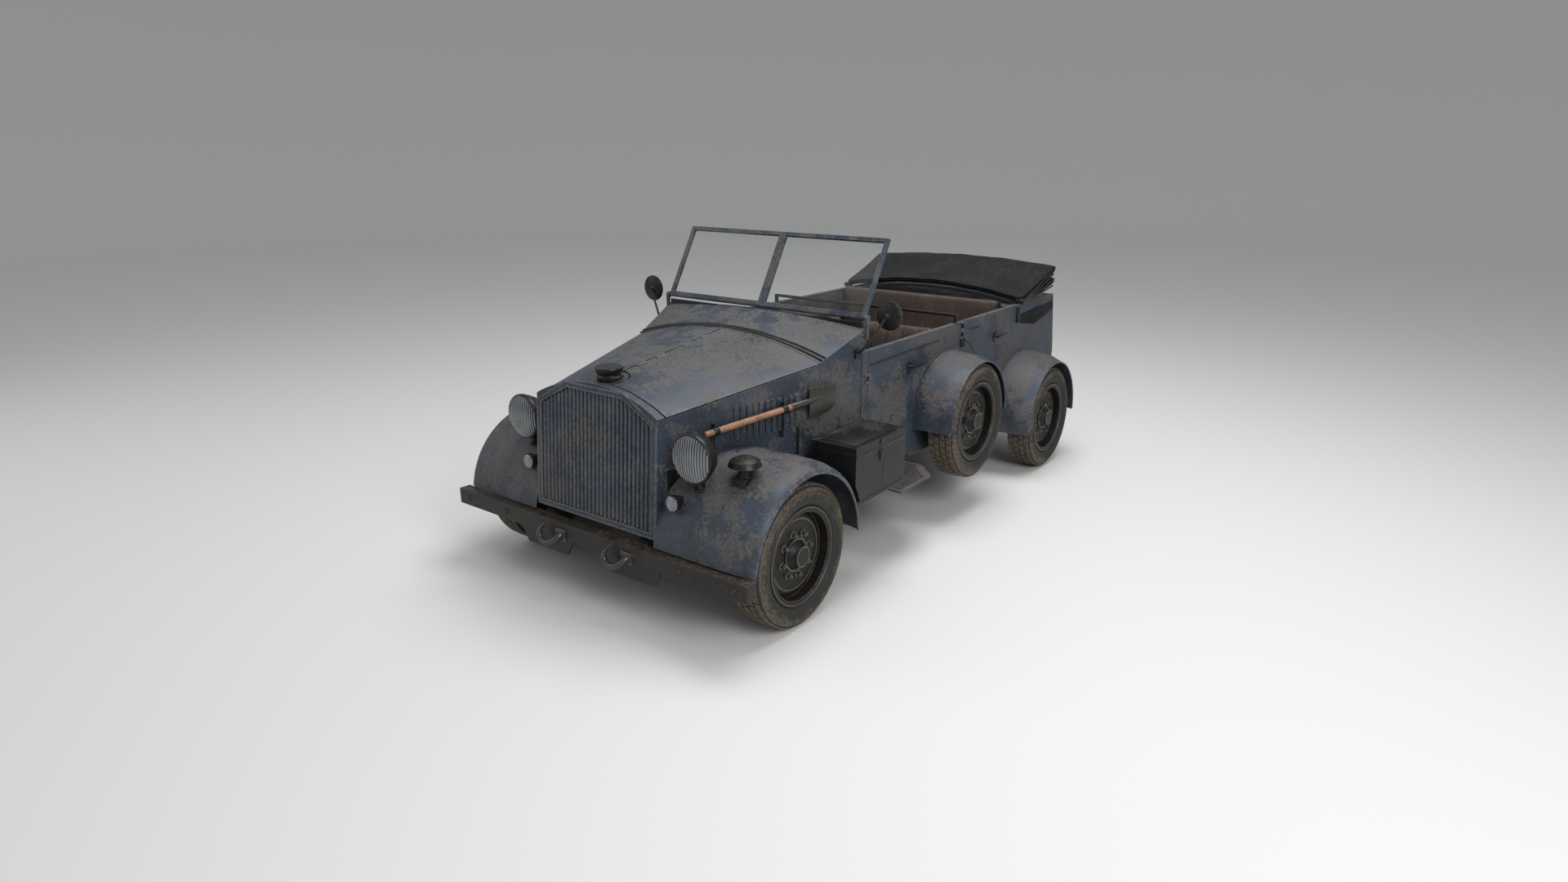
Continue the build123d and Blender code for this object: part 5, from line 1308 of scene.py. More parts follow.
@dataclass
class Spade(OnBonnetSide):
    """Spade on the left bonnet side: handle, socket, blade and two strapped clips."""

    standoff: float = 0.030
    front: float = -0.152
    wood_end: float = 0.372
    socket_end: float = 0.470
    front_height: float = 0.912
    end_height: float = 0.968
    clips: Span = (-0.092, 0.312)

    def height(self, station: float) -> float:
        """Height of the handle's middle at a station."""
        share = (station - self.front) / (self.socket_end - self.front)
        return self.front_height + share * (self.end_height - self.front_height)

    def grip(self, station: float) -> Vector:
        """Middle of the handle at a station."""
        return self.spot(station, self.height(station), self.standoff)

    def dress(self) -> None:
        """Build the spade and its clips."""
        spots = [self.front + (self.wood_end - self.front) * step / 7 for step in range(8)]
        handle = Bench.tube("spade_handle", [self.grip(spot) for spot in spots], 0.017, 16,
                            [0.86, 1.0, 1.0, 0.98, 0.97, 0.98, 1.0, 1.0])
        self.fit(handle, "car", Finish.WOOD, "spade")
        spots = [self.wood_end - 0.022, self.wood_end - 0.020, self.wood_end + 0.06, self.socket_end,
                 self.socket_end + 0.075]
        socket = Bench.tube("spade_socket", [self.grip(spot) for spot in spots], 0.0205, 16,
                            [1.0, 1.0, 0.95, 0.8, 0.25])
        self.fit(Bench.join("spade_blade", [self.blade(), socket]), "car", Finish.STEEL)
        parts = [piece for station in self.clips for piece in self.clip(station)]
        self.fit(Bench.join("spade_clips", parts), "car", Finish.DARK_PAINT)

    def blade(self) -> Piece:
        """Flat blade with rounded lower corners.

        Returns:
            The blade.
        """
        corners = [
            # station, height above the blade's middle
            (0.470, 0.064), (0.478, 0.070), (0.630, 0.068), (0.642, 0.060), (0.655, -0.003), (0.648, -0.030),
            (0.630, -0.053), (0.602, -0.069), (0.570, -0.078), (0.482, -0.089), (0.470, -0.082),
        ]
        outline = [self.spot(station, self.end_height + rise, self.standoff - 0.004)
                   for station, rise in corners]
        return Bench.plate("blade", outline, self.outward() * 0.006, 0.002)

    def clip(self, station: float) -> list[Piece]:
        """Clip round the handle with its foot and strap.

        Args:
            station: Distance of the clip behind the front axle.

        Returns:
            The pieces.
        """
        middle = self.grip(station)
        along = (self.grip(station + 0.1) - middle).normalized()
        turn = along.to_track_quat("X", "Z").to_matrix().to_4x4()
        section = [(-0.014, 0.0165), (0.014, 0.0165), (0.014, 0.0225), (-0.014, 0.0225)]
        band = Bench.lathe("band", section, 28, 0.0015, closed=True)
        Bench.moved(band, Matrix.Translation(middle) @ turn)
        parts = [band]
        limits = [
            # lower and upper edge from the handle's middle, half width, inner and outer face
            (-0.016, 0.016, 0.013, 0.009, 0.026),
            (-0.150, 0.030, 0.010, 0.0005, 0.0095),
            (0.020, 0.034, 0.009, 0.004, 0.040),
        ]
        for low, high, half, inner, outer in limits:
            height = self.height(station)
            corners = [self.spot(station - half, height + low, inner),
                       self.spot(station + half, height + low, inner),
                       self.spot(station + half, height + high, inner),
                       self.spot(station - half, height + high, inner)]
            parts.append(Bench.plate("clip", corners, self.outward() * (outer - inner), 0.002))
        return parts


@dataclass
class FrontFittings(Assembly):
    """Filler cap, grille ribs and beads, mirrors."""

    slats: int = 28
    opening_half: float = 0.387
    opening_bottom: float = 0.479
    opening_shoulder: float = 0.985
    opening_flat: float = 0.190
    opening_top: float = 1.085
    ties: tuple[float, ...] = (0.63, 0.89)
    foot_station: float = -0.436
    foot_height: float = 0.445
    rake: float = 0.052 / 0.686
    mirror_head: Spot = (0.852, 0.895, 1.365)
    mirror_foot: Spot = (0.704, 0.830, 1.158)

    def front(self, height: float) -> float:
        """Station of the raked grille front at a height."""
        return self.foot_station + (height - self.foot_height) * self.rake

    def top(self, x: float) -> float:
        """Height of the grille opening's upper edge."""
        share = max(0.0, (abs(x) - self.opening_flat) / (self.opening_half - self.opening_flat))
        return self.opening_top + share * (self.opening_shoulder - self.opening_top)

    def dress(self) -> None:
        """Build cap, grille and mirrors."""
        cap = [(0.0, 0.0), (0.0, 0.062), (0.010, 0.063), (0.014, 0.058), (0.020, 0.0555), (0.036, 0.064),
               (0.046, 0.0685), (0.052, 0.0688), (0.0565, 0.066), (0.0580, 0.060), (0.0565, 0.050),
               (0.0570, 0.020), (0.0575, 0.0)]
        low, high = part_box("radiator_cap")
        place = Matrix.Translation(((low.x + high.x) / 2, (low.y + high.y) / 2, low.z)) @ UPWARD
        self.fit(Bench.turned("filler_cap", cap, 48, place), "car", Finish.DARK_PAINT, "radiator_cap")
        self.fit(self.grille(), "car", Finish.PAINT, "grille_slats")
        self.fit(self.beads(), "car", Finish.PAINT)
        mirrors = Bench.join("mirror_pair", Bench.both(self.mirror()))
        self.fit(mirrors, "car", Finish.DARK_PAINT, "mirrors")

    def grille(self) -> Piece:
        """Half-round upright ribs on two cross bars.

        Returns:
            The grille.
        """
        pitch = 2 * self.opening_half / self.slats
        parts = []
        for index in range(self.slats):
            x = -self.opening_half + (index + 0.5) * pitch
            heights = (self.opening_bottom + 0.002, 0.7, self.top(x) - 0.004)
            line = [self.at(x, self.front(z) + 0.0135, z) for z in heights]
            parts.append(Bench.tube("slat", line, pitch * 0.36, 10))
        for z in self.ties:
            y = self.front(z)
            parts.append(Bench.block("tie", self.at(-self.opening_half + 0.001, y + 0.019, z - 0.01),
                                     self.at(self.opening_half - 0.001, y + 0.027, z + 0.01), 0.002))
        return Bench.join("grille_ribs", parts)

    def beads(self) -> Piece:
        """Two rolled beads round the grille opening.

        Returns:
            The beads.
        """
        parts = []
        for grow, radius, out in ((0.004, 0.0055, 0.001), (0.026, 0.0065, 0.002)):
            half, flat = self.opening_half + grow, self.opening_flat + grow * 0.4
            corners = [(half, self.opening_bottom - grow), (half, self.opening_shoulder + grow * 0.3),
                       (flat, self.opening_top + grow), (-flat, self.opening_top + grow),
                       (-half, self.opening_shoulder + grow * 0.3), (-half, self.opening_bottom - grow)]
            for (x0, z0), (x1, z1) in zip(corners, corners[1:] + corners[:1]):
                ends = [self.at(x, self.front(z) - out + radius * 0.5, z) for x, z in ((x0, z0), (x1, z1))]
                middle = (ends[0] + ends[1]) / 2
                parts.append(Bench.tube("bead", [ends[0], middle, ends[1]], radius, 10))
        return Bench.join("grille_beads", parts)

    def mirror(self) -> list[Piece]:
        """Left mirror: dished head, glass rim, ball and bent stalk.

        Returns:
            The pieces.
        """
        head = self.at(*self.mirror_head)
        back = [(0.016, 0.0), (0.0155, 0.020), (0.012, 0.048), (0.004, 0.072), (-0.001, 0.0775),
                (-0.007, 0.0775), (-0.008, 0.0725), (-0.0065, 0.070), (-0.0065, 0.0)]
        ball = [(0.034, 0.0), (0.033, 0.006), (0.028, 0.011), (0.021, 0.011), (0.012, 0.016), (0.012, 0.0)]
        place = Matrix.Translation(head) @ FORWARD
        foot = self.at(*self.mirror_foot)
        stalk = [foot, foot + Vector((0.025, -0.004, 0.010)),
                 foot.lerp(head, 0.5) + Vector((0.006, -0.012, -0.004)),
                 head + Vector((-0.012, -0.026, -0.020)), head + Vector((0, -0.024, 0))]
        reach = Vector((0.006, 0.022, 0.026))
        return [Bench.turned("mirror_back", back, 40, place), Bench.turned("mirror_ball", ball, 20, place),
                Bench.tube("mirror_stalk", stalk, 0.0065),
                Bench.block("mirror_foot", foot - reach, foot + reach, 0.004)]


@dataclass
class FoldedHood(Assembly):
    """The hood folded on the tail: one sheet in a zigzag of fanned layers, on its irons."""

    front: float = 2.888
    rear: float = 3.440
    front_half: float = 0.728
    rear_half: float = 0.749
    front_height: float = 1.198
    front_pitch: float = 0.010
    rear_height: float = 1.382
    rear_pitch: float = 0.043
    front_rise: float = 0.078
    rear_rise: float = 0.038
    front_step: float = 0.004
    rear_step: float = 0.003
    sag: float = 0.010
    pivot: Spot = (0.733, 2.908, 1.176)
    layers: int = 4
    cuts: int = 8
    strips: int = 28
    cloth: float = 0.006

    def fold_line(self) -> list[Span]:
        """Side view of the folded sheet.

        Returns:
            Points as (station, height), from the top layer's front edge to the lowest layer's.
        """
        line = []
        for layer in range(self.layers):
            low = (self.front + self.front_step * layer, self.front_height - self.front_pitch * layer)
            high = (self.rear - self.rear_step * layer, self.rear_height - self.rear_pitch * layer)
            run = []
            for share in [cut / self.cuts for cut in range(self.cuts + 1)]:
                sag = self.sag * math.sin(math.pi * share)
                run.append((low[0] + (high[0] - low[0]) * share, low[1] + (high[1] - low[1]) * share - sag))
            line += run if layer % 2 == 0 else run[::-1]
        return line

    def dress(self) -> None:
        """Build the sheet and its irons."""
        line = self.fold_line()
        sheet = self.sheet(line)
        self.fit(sheet, "car", Finish.CANVAS, "folded_hood")
        self.fit(self.irons(), "car", Finish.DARK_PAINT)

    def sheet(self, line: Sequence[Span]) -> Piece:
        """Extrude the fold line across the car, arch it and give it thickness.

        Args:
            line: The fold line.

        Returns:
            The sheet.
        """
        piece = Bench.chain("hood_cloth", [self.at(-1.0, station, height) for station, height in line])
        bpy.ops.object.mode_set(mode="EDIT")
        bpy.ops.mesh.select_all(action="SELECT")
        for _ in range(self.strips):
            bpy.ops.mesh.extrude_region_move(TRANSFORM_OT_translate={"value": (2.0 / self.strips, 0, 0)})
        bpy.ops.object.mode_set(mode="OBJECT")
        start = self.at(0, self.front, 0).y
        for vertex in piece.data.vertices:
            across = vertex.co.x
            share = (vertex.co.y - start) / (self.rear - self.front)
            half = self.front_half + share * (self.rear_half - self.front_half)
            rise = self.front_rise + share * (self.rear_rise - self.front_rise)
            ripple = 0.0022 * math.sin(across * 13.0 + share * 2.0)
            ripple += 0.0018 * math.sin(across * 29.0 - share * 5.0)
            vertex.co.z += rise * (1.0 - across ** 2) + ripple * (1.0 - abs(across) * 0.4)
            vertex.co.x = across * half
        Bench.modifier(piece, "SOLIDIFY", thickness=self.cloth, offset=0.0)
        Bench.modifier(piece, "SUBSURF", levels=1)
        return Bench.smooth(piece, 60.0)

    def irons(self) -> Piece:
        """Hood irons between the layers, their pivots, and the bar under the front edge.

        Returns:
            The irons.
        """
        parts = []
        boss = [(-0.012, 0.0), (-0.012, 0.018), (0.008, 0.018), (0.012, 0.013), (0.012, 0.0)]
        half, station, height = self.pivot
        for _, sign in SIDES:
            pivot = self.at(sign * half, station, height)
            for layer in range(self.layers):
                drop = self.rear_pitch * (layer + 0.5)
                end = self.at(sign * (self.rear_half - 0.010), self.rear - 0.018, self.rear_height - drop)
                middle = pivot.lerp(end, 0.55) + Vector((0, 0, -0.012))
                parts.append(Bench.tube("iron", [pivot, middle, end], 0.0065, 8))
            turn = Matrix.Identity(4) if sign > 0 else MIRROR
            parts.append(Bench.turned("pivot", boss, 20, Matrix.Translation(pivot) @ turn))
            parts.append(Bench.block("stem", self.at(sign * 0.699 - 0.009, self.front, 1.160),
                                     self.at(sign * 0.699 + 0.009, self.front + 0.046, 1.196), 0.003))
            parts.append(Bench.block("arm", self.at(sign * 0.717 - 0.018, self.front + 0.008, 1.166),
                                     self.at(sign * 0.717 + 0.018, self.front + 0.034, 1.184), 0.003))
        arch = []
        for share in [step / 8 for step in range(-8, 9)]:
            rise = self.front_rise * (1.0 - share ** 2)
            arch.append(self.at(0.69 * share, self.front + 0.030, self.front_height - 0.052 + rise))
        parts.append(Bench.tube("front_bow", arch, 0.010, 8))
        return Bench.join("hood_irons", parts)


class ShowFace(Enum):
    """The face of a cushion that carries its seams."""

    TOP = "top"
    FRONT = "front"


@dataclass
class Cushion:
    """A stuffed pad between two corners, swollen by cloth pressure and sewn in channels."""

    name: str
    low: Spot
    high: Spot
    shear: float = 0.0
    voxel: float = 0.009
    pressure: float = 4.0
    swell: float = 0.012
    frames: int = 20
    channels: int = 5
    groove: float = 0.006
    seam: float = 0.011
    face: ShowFace = ShowFace.TOP

    def build(self) -> Piece:
        """Block out the pad, swell it, sew it and lean it.

        Returns:
            The pad, in its place.
        """
        inset = self.swell * 0.75
        low = Vector(self.low) + Vector((inset, inset, inset))
        high = Vector(self.high) - Vector((inset, inset, inset))
        Bench.clear()
        bpy.ops.mesh.primitive_cube_add(size=1.0, location=(low + high) / 2, scale=high - low)
        pad = Bench.rounded(Bench.named(self.name), min(high - low) * 0.32, 4)
        Bench.modifier(pad, "REMESH", mode="VOXEL", voxel_size=self.voxel)
        self.inflate(pad)
        Bench.modifier(pad, "SUBSURF", levels=1)
        self.sew(pad)
        for vertex in pad.data.vertices:
            vertex.co.y += self.shear * (vertex.co.z - self.low[2])
        return Bench.smooth(pad, 80.0)

    def inflate(self, pad: Piece) -> None:
        """Run cloth under pressure and keep each point within the swell of where it began.

        Args:
            pad: The pad.
        """
        before = [vertex.co.copy() for vertex in pad.data.vertices]
        cloth = pad.modifiers.new("cloth", "CLOTH")
        cloth.settings.use_pressure = True
        cloth.settings.uniform_pressure_force = self.pressure
        cloth.settings.effector_weights.gravity = 0.0
        scene = bpy.context.scene
        for frame in range(1, self.frames + 1):
            scene.frame_set(frame)
        swollen = pad.evaluated_get(bpy.context.evaluated_depsgraph_get()).data
        after = [vertex.co.copy() for vertex in swollen.vertices]
        pad.modifiers.remove(cloth)
        scene.frame_set(1)
        for vertex, start, end in zip(pad.data.vertices, before, after):
            move = end - start
            vertex.co = start + move * min(1.0, self.swell / max(move.length, 1e-6))

    def sew(self, pad: Piece) -> None:
        """Draw the show face in along evenly spaced seams.

        Args:
            pad: The pad.
        """
        width = self.high[0] - self.low[0]
        for vertex in pad.data.vertices:
            lane = (vertex.co.x - self.low[0]) / width * self.channels
            edge = abs(lane - round(lane)) * width / self.channels
            if not 0.4 < lane < self.channels - 0.4:
                continue
            depth = self.groove * math.exp(-(edge / self.seam) ** 2)
            if self.face is ShowFace.TOP and vertex.co.z > (self.low[2] + self.high[2]) / 2:
                vertex.co.z -= depth
            elif self.face is ShowFace.FRONT and vertex.co.y < (self.low[1] + self.high[1]) / 2:
                vertex.co.y += depth


@dataclass
class Seats(Assembly):
    """Front seats and rear bench: stuffed cushions and backs on plain frames."""

    inner: float = 0.072
    outer: float = 0.618
    rear_half: float = 0.636

    def dress(self) -> None:
        """Build one front seat, mirror it, and build the bench."""
        side, half = (self.inner, self.outer), (-self.rear_half, self.rear_half)
        front = [
            Cushion("front_cushion", *self.corners(side, (1.334, 1.764), (0.612, 0.752))),
            Cushion("front_back", *self.corners(side, (1.757, 1.832), (0.700, 1.148)), 0.14,
                    face=ShowFace.FRONT),
        ]
        rear = [
            Cushion("rear_cushion", *self.corners(half, (2.293, 2.676), (0.602, 0.758)), voxel=0.011,
                    channels=12),
            Cushion("rear_back", *self.corners(half, (2.672, 2.748), (0.700, 1.205)), 0.055, voxel=0.011,
                    swell=0.008, channels=8, groove=0.003, face=ShowFace.FRONT),
        ]
        for index, cushion in enumerate(front):
            pad = cushion.build()
            other = Bench.copy(pad, f"{cushion.name}_right", MIRROR)
            pad.name = f"{cushion.name}_left"
            for piece in (pad, other):
                self.fit(piece, "car", Finish.LEATHER, *(["front_seats"] if index == 0 else []))
        for index, cushion in enumerate(rear):
            pad = self.fit(cushion.build(), "car", Finish.LEATHER, *(["rear_seat"] if index == 0 else []))
        self.fit(self.frames(), "car", Finish.DARK_PAINT)

    def corners(self, xs: Span, stations: Span, heights: Span) -> tuple[Spot, Spot]:
        """Lowest and highest corner of a box between limits."""
        return tuple(tuple(self.at(*spot)) for spot in zip(xs, stations, heights))

    def frames(self) -> Piece:
        """Plinths under the cushions and boards behind the backs.

        Returns:
            The frames.
        """
        parts = []
        for _, sign in SIDES:
            spans = [
                # x limits, station limits, height limits
                ((0.105, 0.585), (1.372, 1.778), (0.490, 0.612)),
                ((0.085, 0.605), (1.352, 1.760), (0.600, 0.616)),
            ]
            for xs, stations, heights in spans:
                limits = tuple(sorted(sign * x for x in xs))
                parts.append(Bench.block("frame", *self.corners(limits, stations, heights), 0.004))
            board = [self.at(sign * x, station, height) for x, station, height in
                     ((0.095, 1.826, 0.62), (0.595, 1.826, 0.62), (0.595, 1.888, 1.10), (0.095, 1.888, 1.10))]
            parts.append(Bench.plate("board", board, (0, 0.008, 0), 0.003))
        across = (-0.630, 0.630)
        parts.append(Bench.block("bench", *self.corners(across, (2.306, 2.770), (0.490, 0.604)), 0.005))
        parts.append(Bench.block("bench_back", *self.corners(across, (2.762, 2.779), (0.600, 1.180)), 0.004))
        return Bench.join("seat_frames", parts)


@dataclass(frozen=True)
class Arch:
    """A section of the bonnet or scuttle: upright sides under an arched top."""

    station: float
    half: float
    shoulder: float
    crest: float

    def height(self, x: float) -> float:
        """Height of the arched top.

        Args:
            x: Distance from the car's middle.

        Returns:
            The height.
        """
        rise = self.crest - self.shoulder
        radius = (self.half ** 2 + rise ** 2) / (2 * rise)
        return self.crest - radius + math.sqrt(radius ** 2 - x ** 2)

    def toward(self, other: "Arch", station: float) -> "Arch":
        """Section between this one and another.

        Args:
            other: The other section.
            station: Place of the section wanted.

        Returns:
            The section.
        """
        share = (station - self.station) / (other.station - self.station)
        ends = zip((self.half, self.shoulder, self.crest), (other.half, other.shoulder, other.crest))
        return Arch(station, *[low + share * (high - low) for low, high in ends])


@dataclass
class BonnetTrim(OnBonnetSide):
    """Beads over the scuttle, a strap on the bonnet side and the bumper's bolts."""

    bonnet_rear: Arch = Arch(0.560, 0.650, 1.147, 1.255)
    scuttle_rear: Arch = Arch(0.897, 0.713, 1.288, 1.322)
    bead_stations: tuple[float, ...] = (0.578, 0.602)
    bolt_places: tuple[float, ...] = (0.330, 0.620, 0.940)
    bolt_height: float = 0.370

    def dress(self) -> None:
        """Build beads, strap and bolts."""
        beads = []
        for station in self.bead_stations:
            arch = self.bonnet_rear.toward(self.scuttle_rear, station)
            spots = [arch.half * 0.998 * step / 9 for step in range(-9, 10)]
            line = [self.at(x, station, arch.height(x) + 0.0015) for x in spots]
            beads.append(Bench.tube("scuttle_bead", line, 0.0068, 10))
        strap = [self.spot(station, height, 0.0005) for station, height in
                 ((0.408, 0.690), (0.424, 0.690), (0.424, 0.862), (0.408, 0.862))]
        beads.append(Bench.plate("strap", strap, self.outward() * 0.006, 0.002))
        beads.append(self.seal())
        self.fit(Bench.join("bonnet_beads", beads), "car", Finish.DARK_PAINT)
        dome = [(-0.002, 0.0), (-0.002, 0.017), (0.003, 0.016), (0.008, 0.010), (0.0095, 0.0)]
        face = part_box("front_bumper")[0].y
        spots = [(sign * x, face, self.bolt_height) for x in self.bolt_places for _, sign in SIDES]
        bolts = [Bench.turned("bolt", dome, 18, Matrix.Translation(spot) @ FORWARD) for spot in spots]
        self.fit(Bench.join("bumper_bolts", bolts), "car", Finish.IRON)

    def seal(self) -> Piece:
        """Rubber strip on the scuttle's rear edge, level under the windscreen.

        Returns:
            The strip.
        """
        station, top, half = self.scuttle_rear.station - 0.014, 1.3165, self.scuttle_rear.half - 0.020
        arch = [half * step / 12 for step in range(-12, 13)]
        arch = [(x, self.scuttle_rear.height(x) - 0.012) for x in arch]
        outline = [self.at(x, station, z) for x, z in [*arch, (half, top), (-half, top)]]
        return Bench.plate("screen_seal", outline, (0, 0.010, 0), 0.002)


@dataclass
class DoorTrim(Assembly):
    """Beads, handle plates and inner cards of the four doors."""

    skin: float = 0.714
    inside: float = 0.684
    card_top: float = 1.128
    card_bottom: float = 0.532
    spare: Span = (1.843, 0.594)
    rear: Span = (3.000, 0.356)

    def dress(self) -> None:
        """Build each door's trim on the left and mirror it."""
        doors = {
            # door: bead's ends, handle's station, card's outline
            "front": (((0.948, 1.078), (1.718, 1.092)), 1.368, self.front_card()),
            "rear": (((2.143, 1.098), (2.273, 1.098)), 2.520, self.rear_card()),
        }
        for door, (bead, handle, card) in doors.items():
            outer = [self.bead(bead), *self.plate(handle)]
            outside = Bench.join(f"door_{door}_outside_left", outer)
            inner = Bench.plate(f"door_{door}_card_left", [self.at(self.inside, *spot) for spot in card],
                                (-0.005, 0, 0), 0.002)
            for piece, finish in ((outside, Finish.DARK_PAINT), (inner, Finish.LEATHER)):
                other = Bench.copy(piece, piece.name.replace("left", "right"), MIRROR)
                self.fit(piece, f"door_{door}_left", finish)
                self.fit(other, f"door_{door}_right", finish)

    def bead(self, ends: Sequence[Span]) -> Piece:
        """Raised bead along the door's waist."""
        line = [self.at(self.skin + 0.0005, *spot) for spot in ends]
        return Bench.tube("bead", [line[0], line[0].lerp(line[1], 0.5), line[1]], 0.0055, 10)

    def plate(self, station: float) -> list[Piece]:
        """Lever cover, oval plate and keyhole boss of a handle.

        Args:
            station: The handle's turning axis behind the front axle.

        Returns:
            The pieces.
        """
        turns = [math.radians(22.5 * step) for step in range(16)]
        oval = [(station + 0.030 * math.cos(turn), 0.985 + 0.040 * math.sin(turn)) for turn in turns]
        outline = [self.at(self.skin - 0.001, *spot) for spot in oval]
        boss = [(0.0, 0.0), (0.0, 0.009), (0.006, 0.009), (0.007, 0.006), (0.007, 0.0)]
        lever = Bench.block("lever", self.at(self.skin + 0.0212, station - 0.0100, 0.9830),
                            self.at(self.skin + 0.0350, station + 0.1312, 1.0030), 0.0035)
        return [lever, Bench.plate("handle_plate", outline, (0.004, 0, 0), 0.0012),
                Bench.turned("boss", boss, 16, Matrix.Translation(self.at(self.skin, station, 0.958)))]

    @staticmethod
    def arc(middle: Span, radius: float, first: float, last: float) -> list[Span]:
        """Points of an arc about a wheel, from one angle in degrees to another."""
        turns = [math.radians(first + (last - first) * step / 9) for step in range(10)]
        return [(middle[0] + radius * math.cos(turn), middle[1] + radius * math.sin(turn)) for turn in turns]

    def front_card(self) -> list[Span]:
        """Outline of the front door's card, cut round the spare wheel."""
        cut = self.arc(self.spare, 0.475, 187.5, 105.5)
        return [(0.950, self.card_top), (0.950, self.card_bottom), *cut, (cut[-1][0], self.card_top)]

    def rear_card(self) -> list[Span]:
        """Outline of the rear door's card, cut round the spare and rear wheels.

        Returns:
            Points as (station, height).
        """
        front = self.arc(self.spare, 0.526, 66.0, -6.8)
        rear = self.arc(self.rear, 0.518, 160.0, 116.0)
        return [(front[0][0], self.card_top), *front, *rear, (rear[-1][0], self.card_top)]


@dataclass
class BodyTrim(Assembly):
    """Mudguard wires, pillar fittings, sill strips, side flaps and step ribs."""

    skin: float = 0.714
    flap: tuple[Span, ...] = (
        # station, height
        (2.935, 1.085), (3.225, 1.098), (3.508, 1.109), (3.517, 1.053), (3.350, 1.012), (3.182, 0.982),
        (2.933, 1.021),
    )
    rib_front: float = 0.925
    rib_pitch: float = 0.028
    rib_count: int = 15

    def dress(self) -> None:
        """Build the left side's trim and mirror it."""
        groups = (
            ("guard_wires", self.wires(), Finish.PAINT),
            ("pillar_fittings", self.fittings(), Finish.IRON),
            ("step_ribs", self.ribs(), Finish.DARK_PAINT),
        )
        for name, parts, finish in groups:
            self.fit(Bench.join(name, Bench.both(parts)), "car", finish)
        self.flaps()

    def wires(self) -> list[Piece]:
        """Wired edge round each mudguard's lip.

        Returns:
            The pieces.
        """
        arcs = [
            # wheel, lip's x, radius, rear and front angle in degrees
            ("front", 0.9965, 0.4135, 1.0, 171.0),
            ("spare", 0.9555, 0.3720, 1.0, 178.0),
            ("rear", 0.9755, 0.4000, -2.0, 183.0),
        ]
        parts = []
        for axle, x, radius, first, last in arcs:
            centre = self.middle(f"tyre_{axle}_left")
            turns = [math.radians(first + (last - first) * step / 28) for step in range(29)]
            line = [Vector((x, centre.y + radius * math.cos(turn), centre.z + radius * math.sin(turn)))
                    for turn in turns]
            parts.append(Bench.tube("wire", line, 0.0052, 8))
        return parts

    def fittings(self) -> list[Piece]:
        """Pillar block with two bars, hood bracket on the rear pillar, and sill strips.

        Returns:
            The pieces.
        """
        boxes = [
            # station limits, height limits, how far it stands out
            ((2.008, 2.052), (1.004, 1.048), 0.010),
            ((2.013, 2.024), (1.000, 1.051), 0.018),
            ((2.036, 2.047), (1.000, 1.051), 0.018),
            ((2.852, 2.884), (1.066, 1.126), 0.012),
            ((2.860, 2.876), (1.034, 1.140), 0.020),
            ((0.905, 1.398), (0.437, 0.455), 0.005),
            ((2.290, 2.490), (0.437, 0.455), 0.005),
        ]
        return [Bench.block("fitting", self.at(self.skin - 0.001, stations[0], heights[0]),
                            self.at(self.skin + out, stations[1], heights[1]), 0.002)
                for stations, heights, out in boxes]

    def flaps(self) -> None:
        """Lay a flap of hood cloth flat on each rear quarter."""
        outline = [self.at(self.skin - 0.0005, station, height) for station, height in self.flap]
        left = Bench.plate("side_flap_left", outline, (0.006, 0, 0), 0.0022)
        right = Bench.copy(left, "side_flap_right", MIRROR)
        following = self.flap[1:] + self.flap[:1]
        area = abs(sum(y0 * z1 - y1 * z0 for (y0, z0), (y1, z1) in zip(self.flap, following))) / 2
        for piece in (left, right):
            self.fit(piece, "car", Finish.CANVAS)

    def ribs(self) -> list[Piece]:
        """Raised tread ribs across the step plate, shorter where its corner is cut off.

        Returns:
            The pieces.
        """
        stations = [self.rib_front + self.rib_pitch * index for index in range(self.rib_count)]
        return [Bench.block("rib", self.at(0.735, station, 0.4175),
                            self.at(min(0.945, 2.125 - station), station + 0.009, 0.4215), 0.0015)
                for station in stations]


@dataclass
class ToolboxTrim(Assembly):
    """Strips, seam, latch and pressed lid panel of each toolbox."""

    outer: float = 0.982
    front: float = 0.404
    rear: float = 0.882
    latch: float = 0.640

    def dress(self) -> None:
        """Build the left box's trim and mirror it."""
        boxes = [
            # station limits, height limits, how far it stands out
            ((self.front + 0.002, self.rear - 0.002), (0.734, 0.751), 0.0035),
            ((self.front + 0.002, self.rear - 0.002), (0.488, 0.506), 0.0035),
            ((0.668, 0.672), (0.506, 0.734), 0.0020),
            ((self.latch - 0.013, self.latch + 0.013), (0.672, 0.734), 0.0060),
            ((self.latch - 0.007, self.latch + 0.007), (0.690, 0.745), 0.0115),
        ]
        fixed = [Bench.block("strip", self.at(self.outer - 0.001, stations[0], heights[0]),
                             self.at(self.outer + out, stations[1], heights[1]), 0.0015)
                 for stations, heights, out in boxes]
        low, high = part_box("toolbox_lid_left")
        lid = [
            Bench.block("panel", (0.752, self.at(0, self.front + 0.030, 0).y, high.z - 0.001),
                        (high.x - 0.030, self.at(0, self.rear - 0.030, 0).y, high.z + 0.0035), 0.0030),
            Bench.block("catch", self.at(high.x - 0.001, self.latch - 0.012, high.z - 0.030),
                        self.at(high.x + 0.005, self.latch + 0.012, high.z - 0.008), 0.0020),
        ]
        for name, parts, body, finish in (("toolbox_strips", fixed, "car", Finish.IRON),
                                          ("lid_panel", lid, "toolbox_lid", Finish.DARK_PAINT)):
            left = Bench.join(f"{name}_left", parts)
            right = Bench.copy(left, f"{name}_right", MIRROR)
            for piece, (side, _) in zip((left, right), SIDES):
                self.fit(piece, body if body == "car" else f"{body}_{side}", finish)


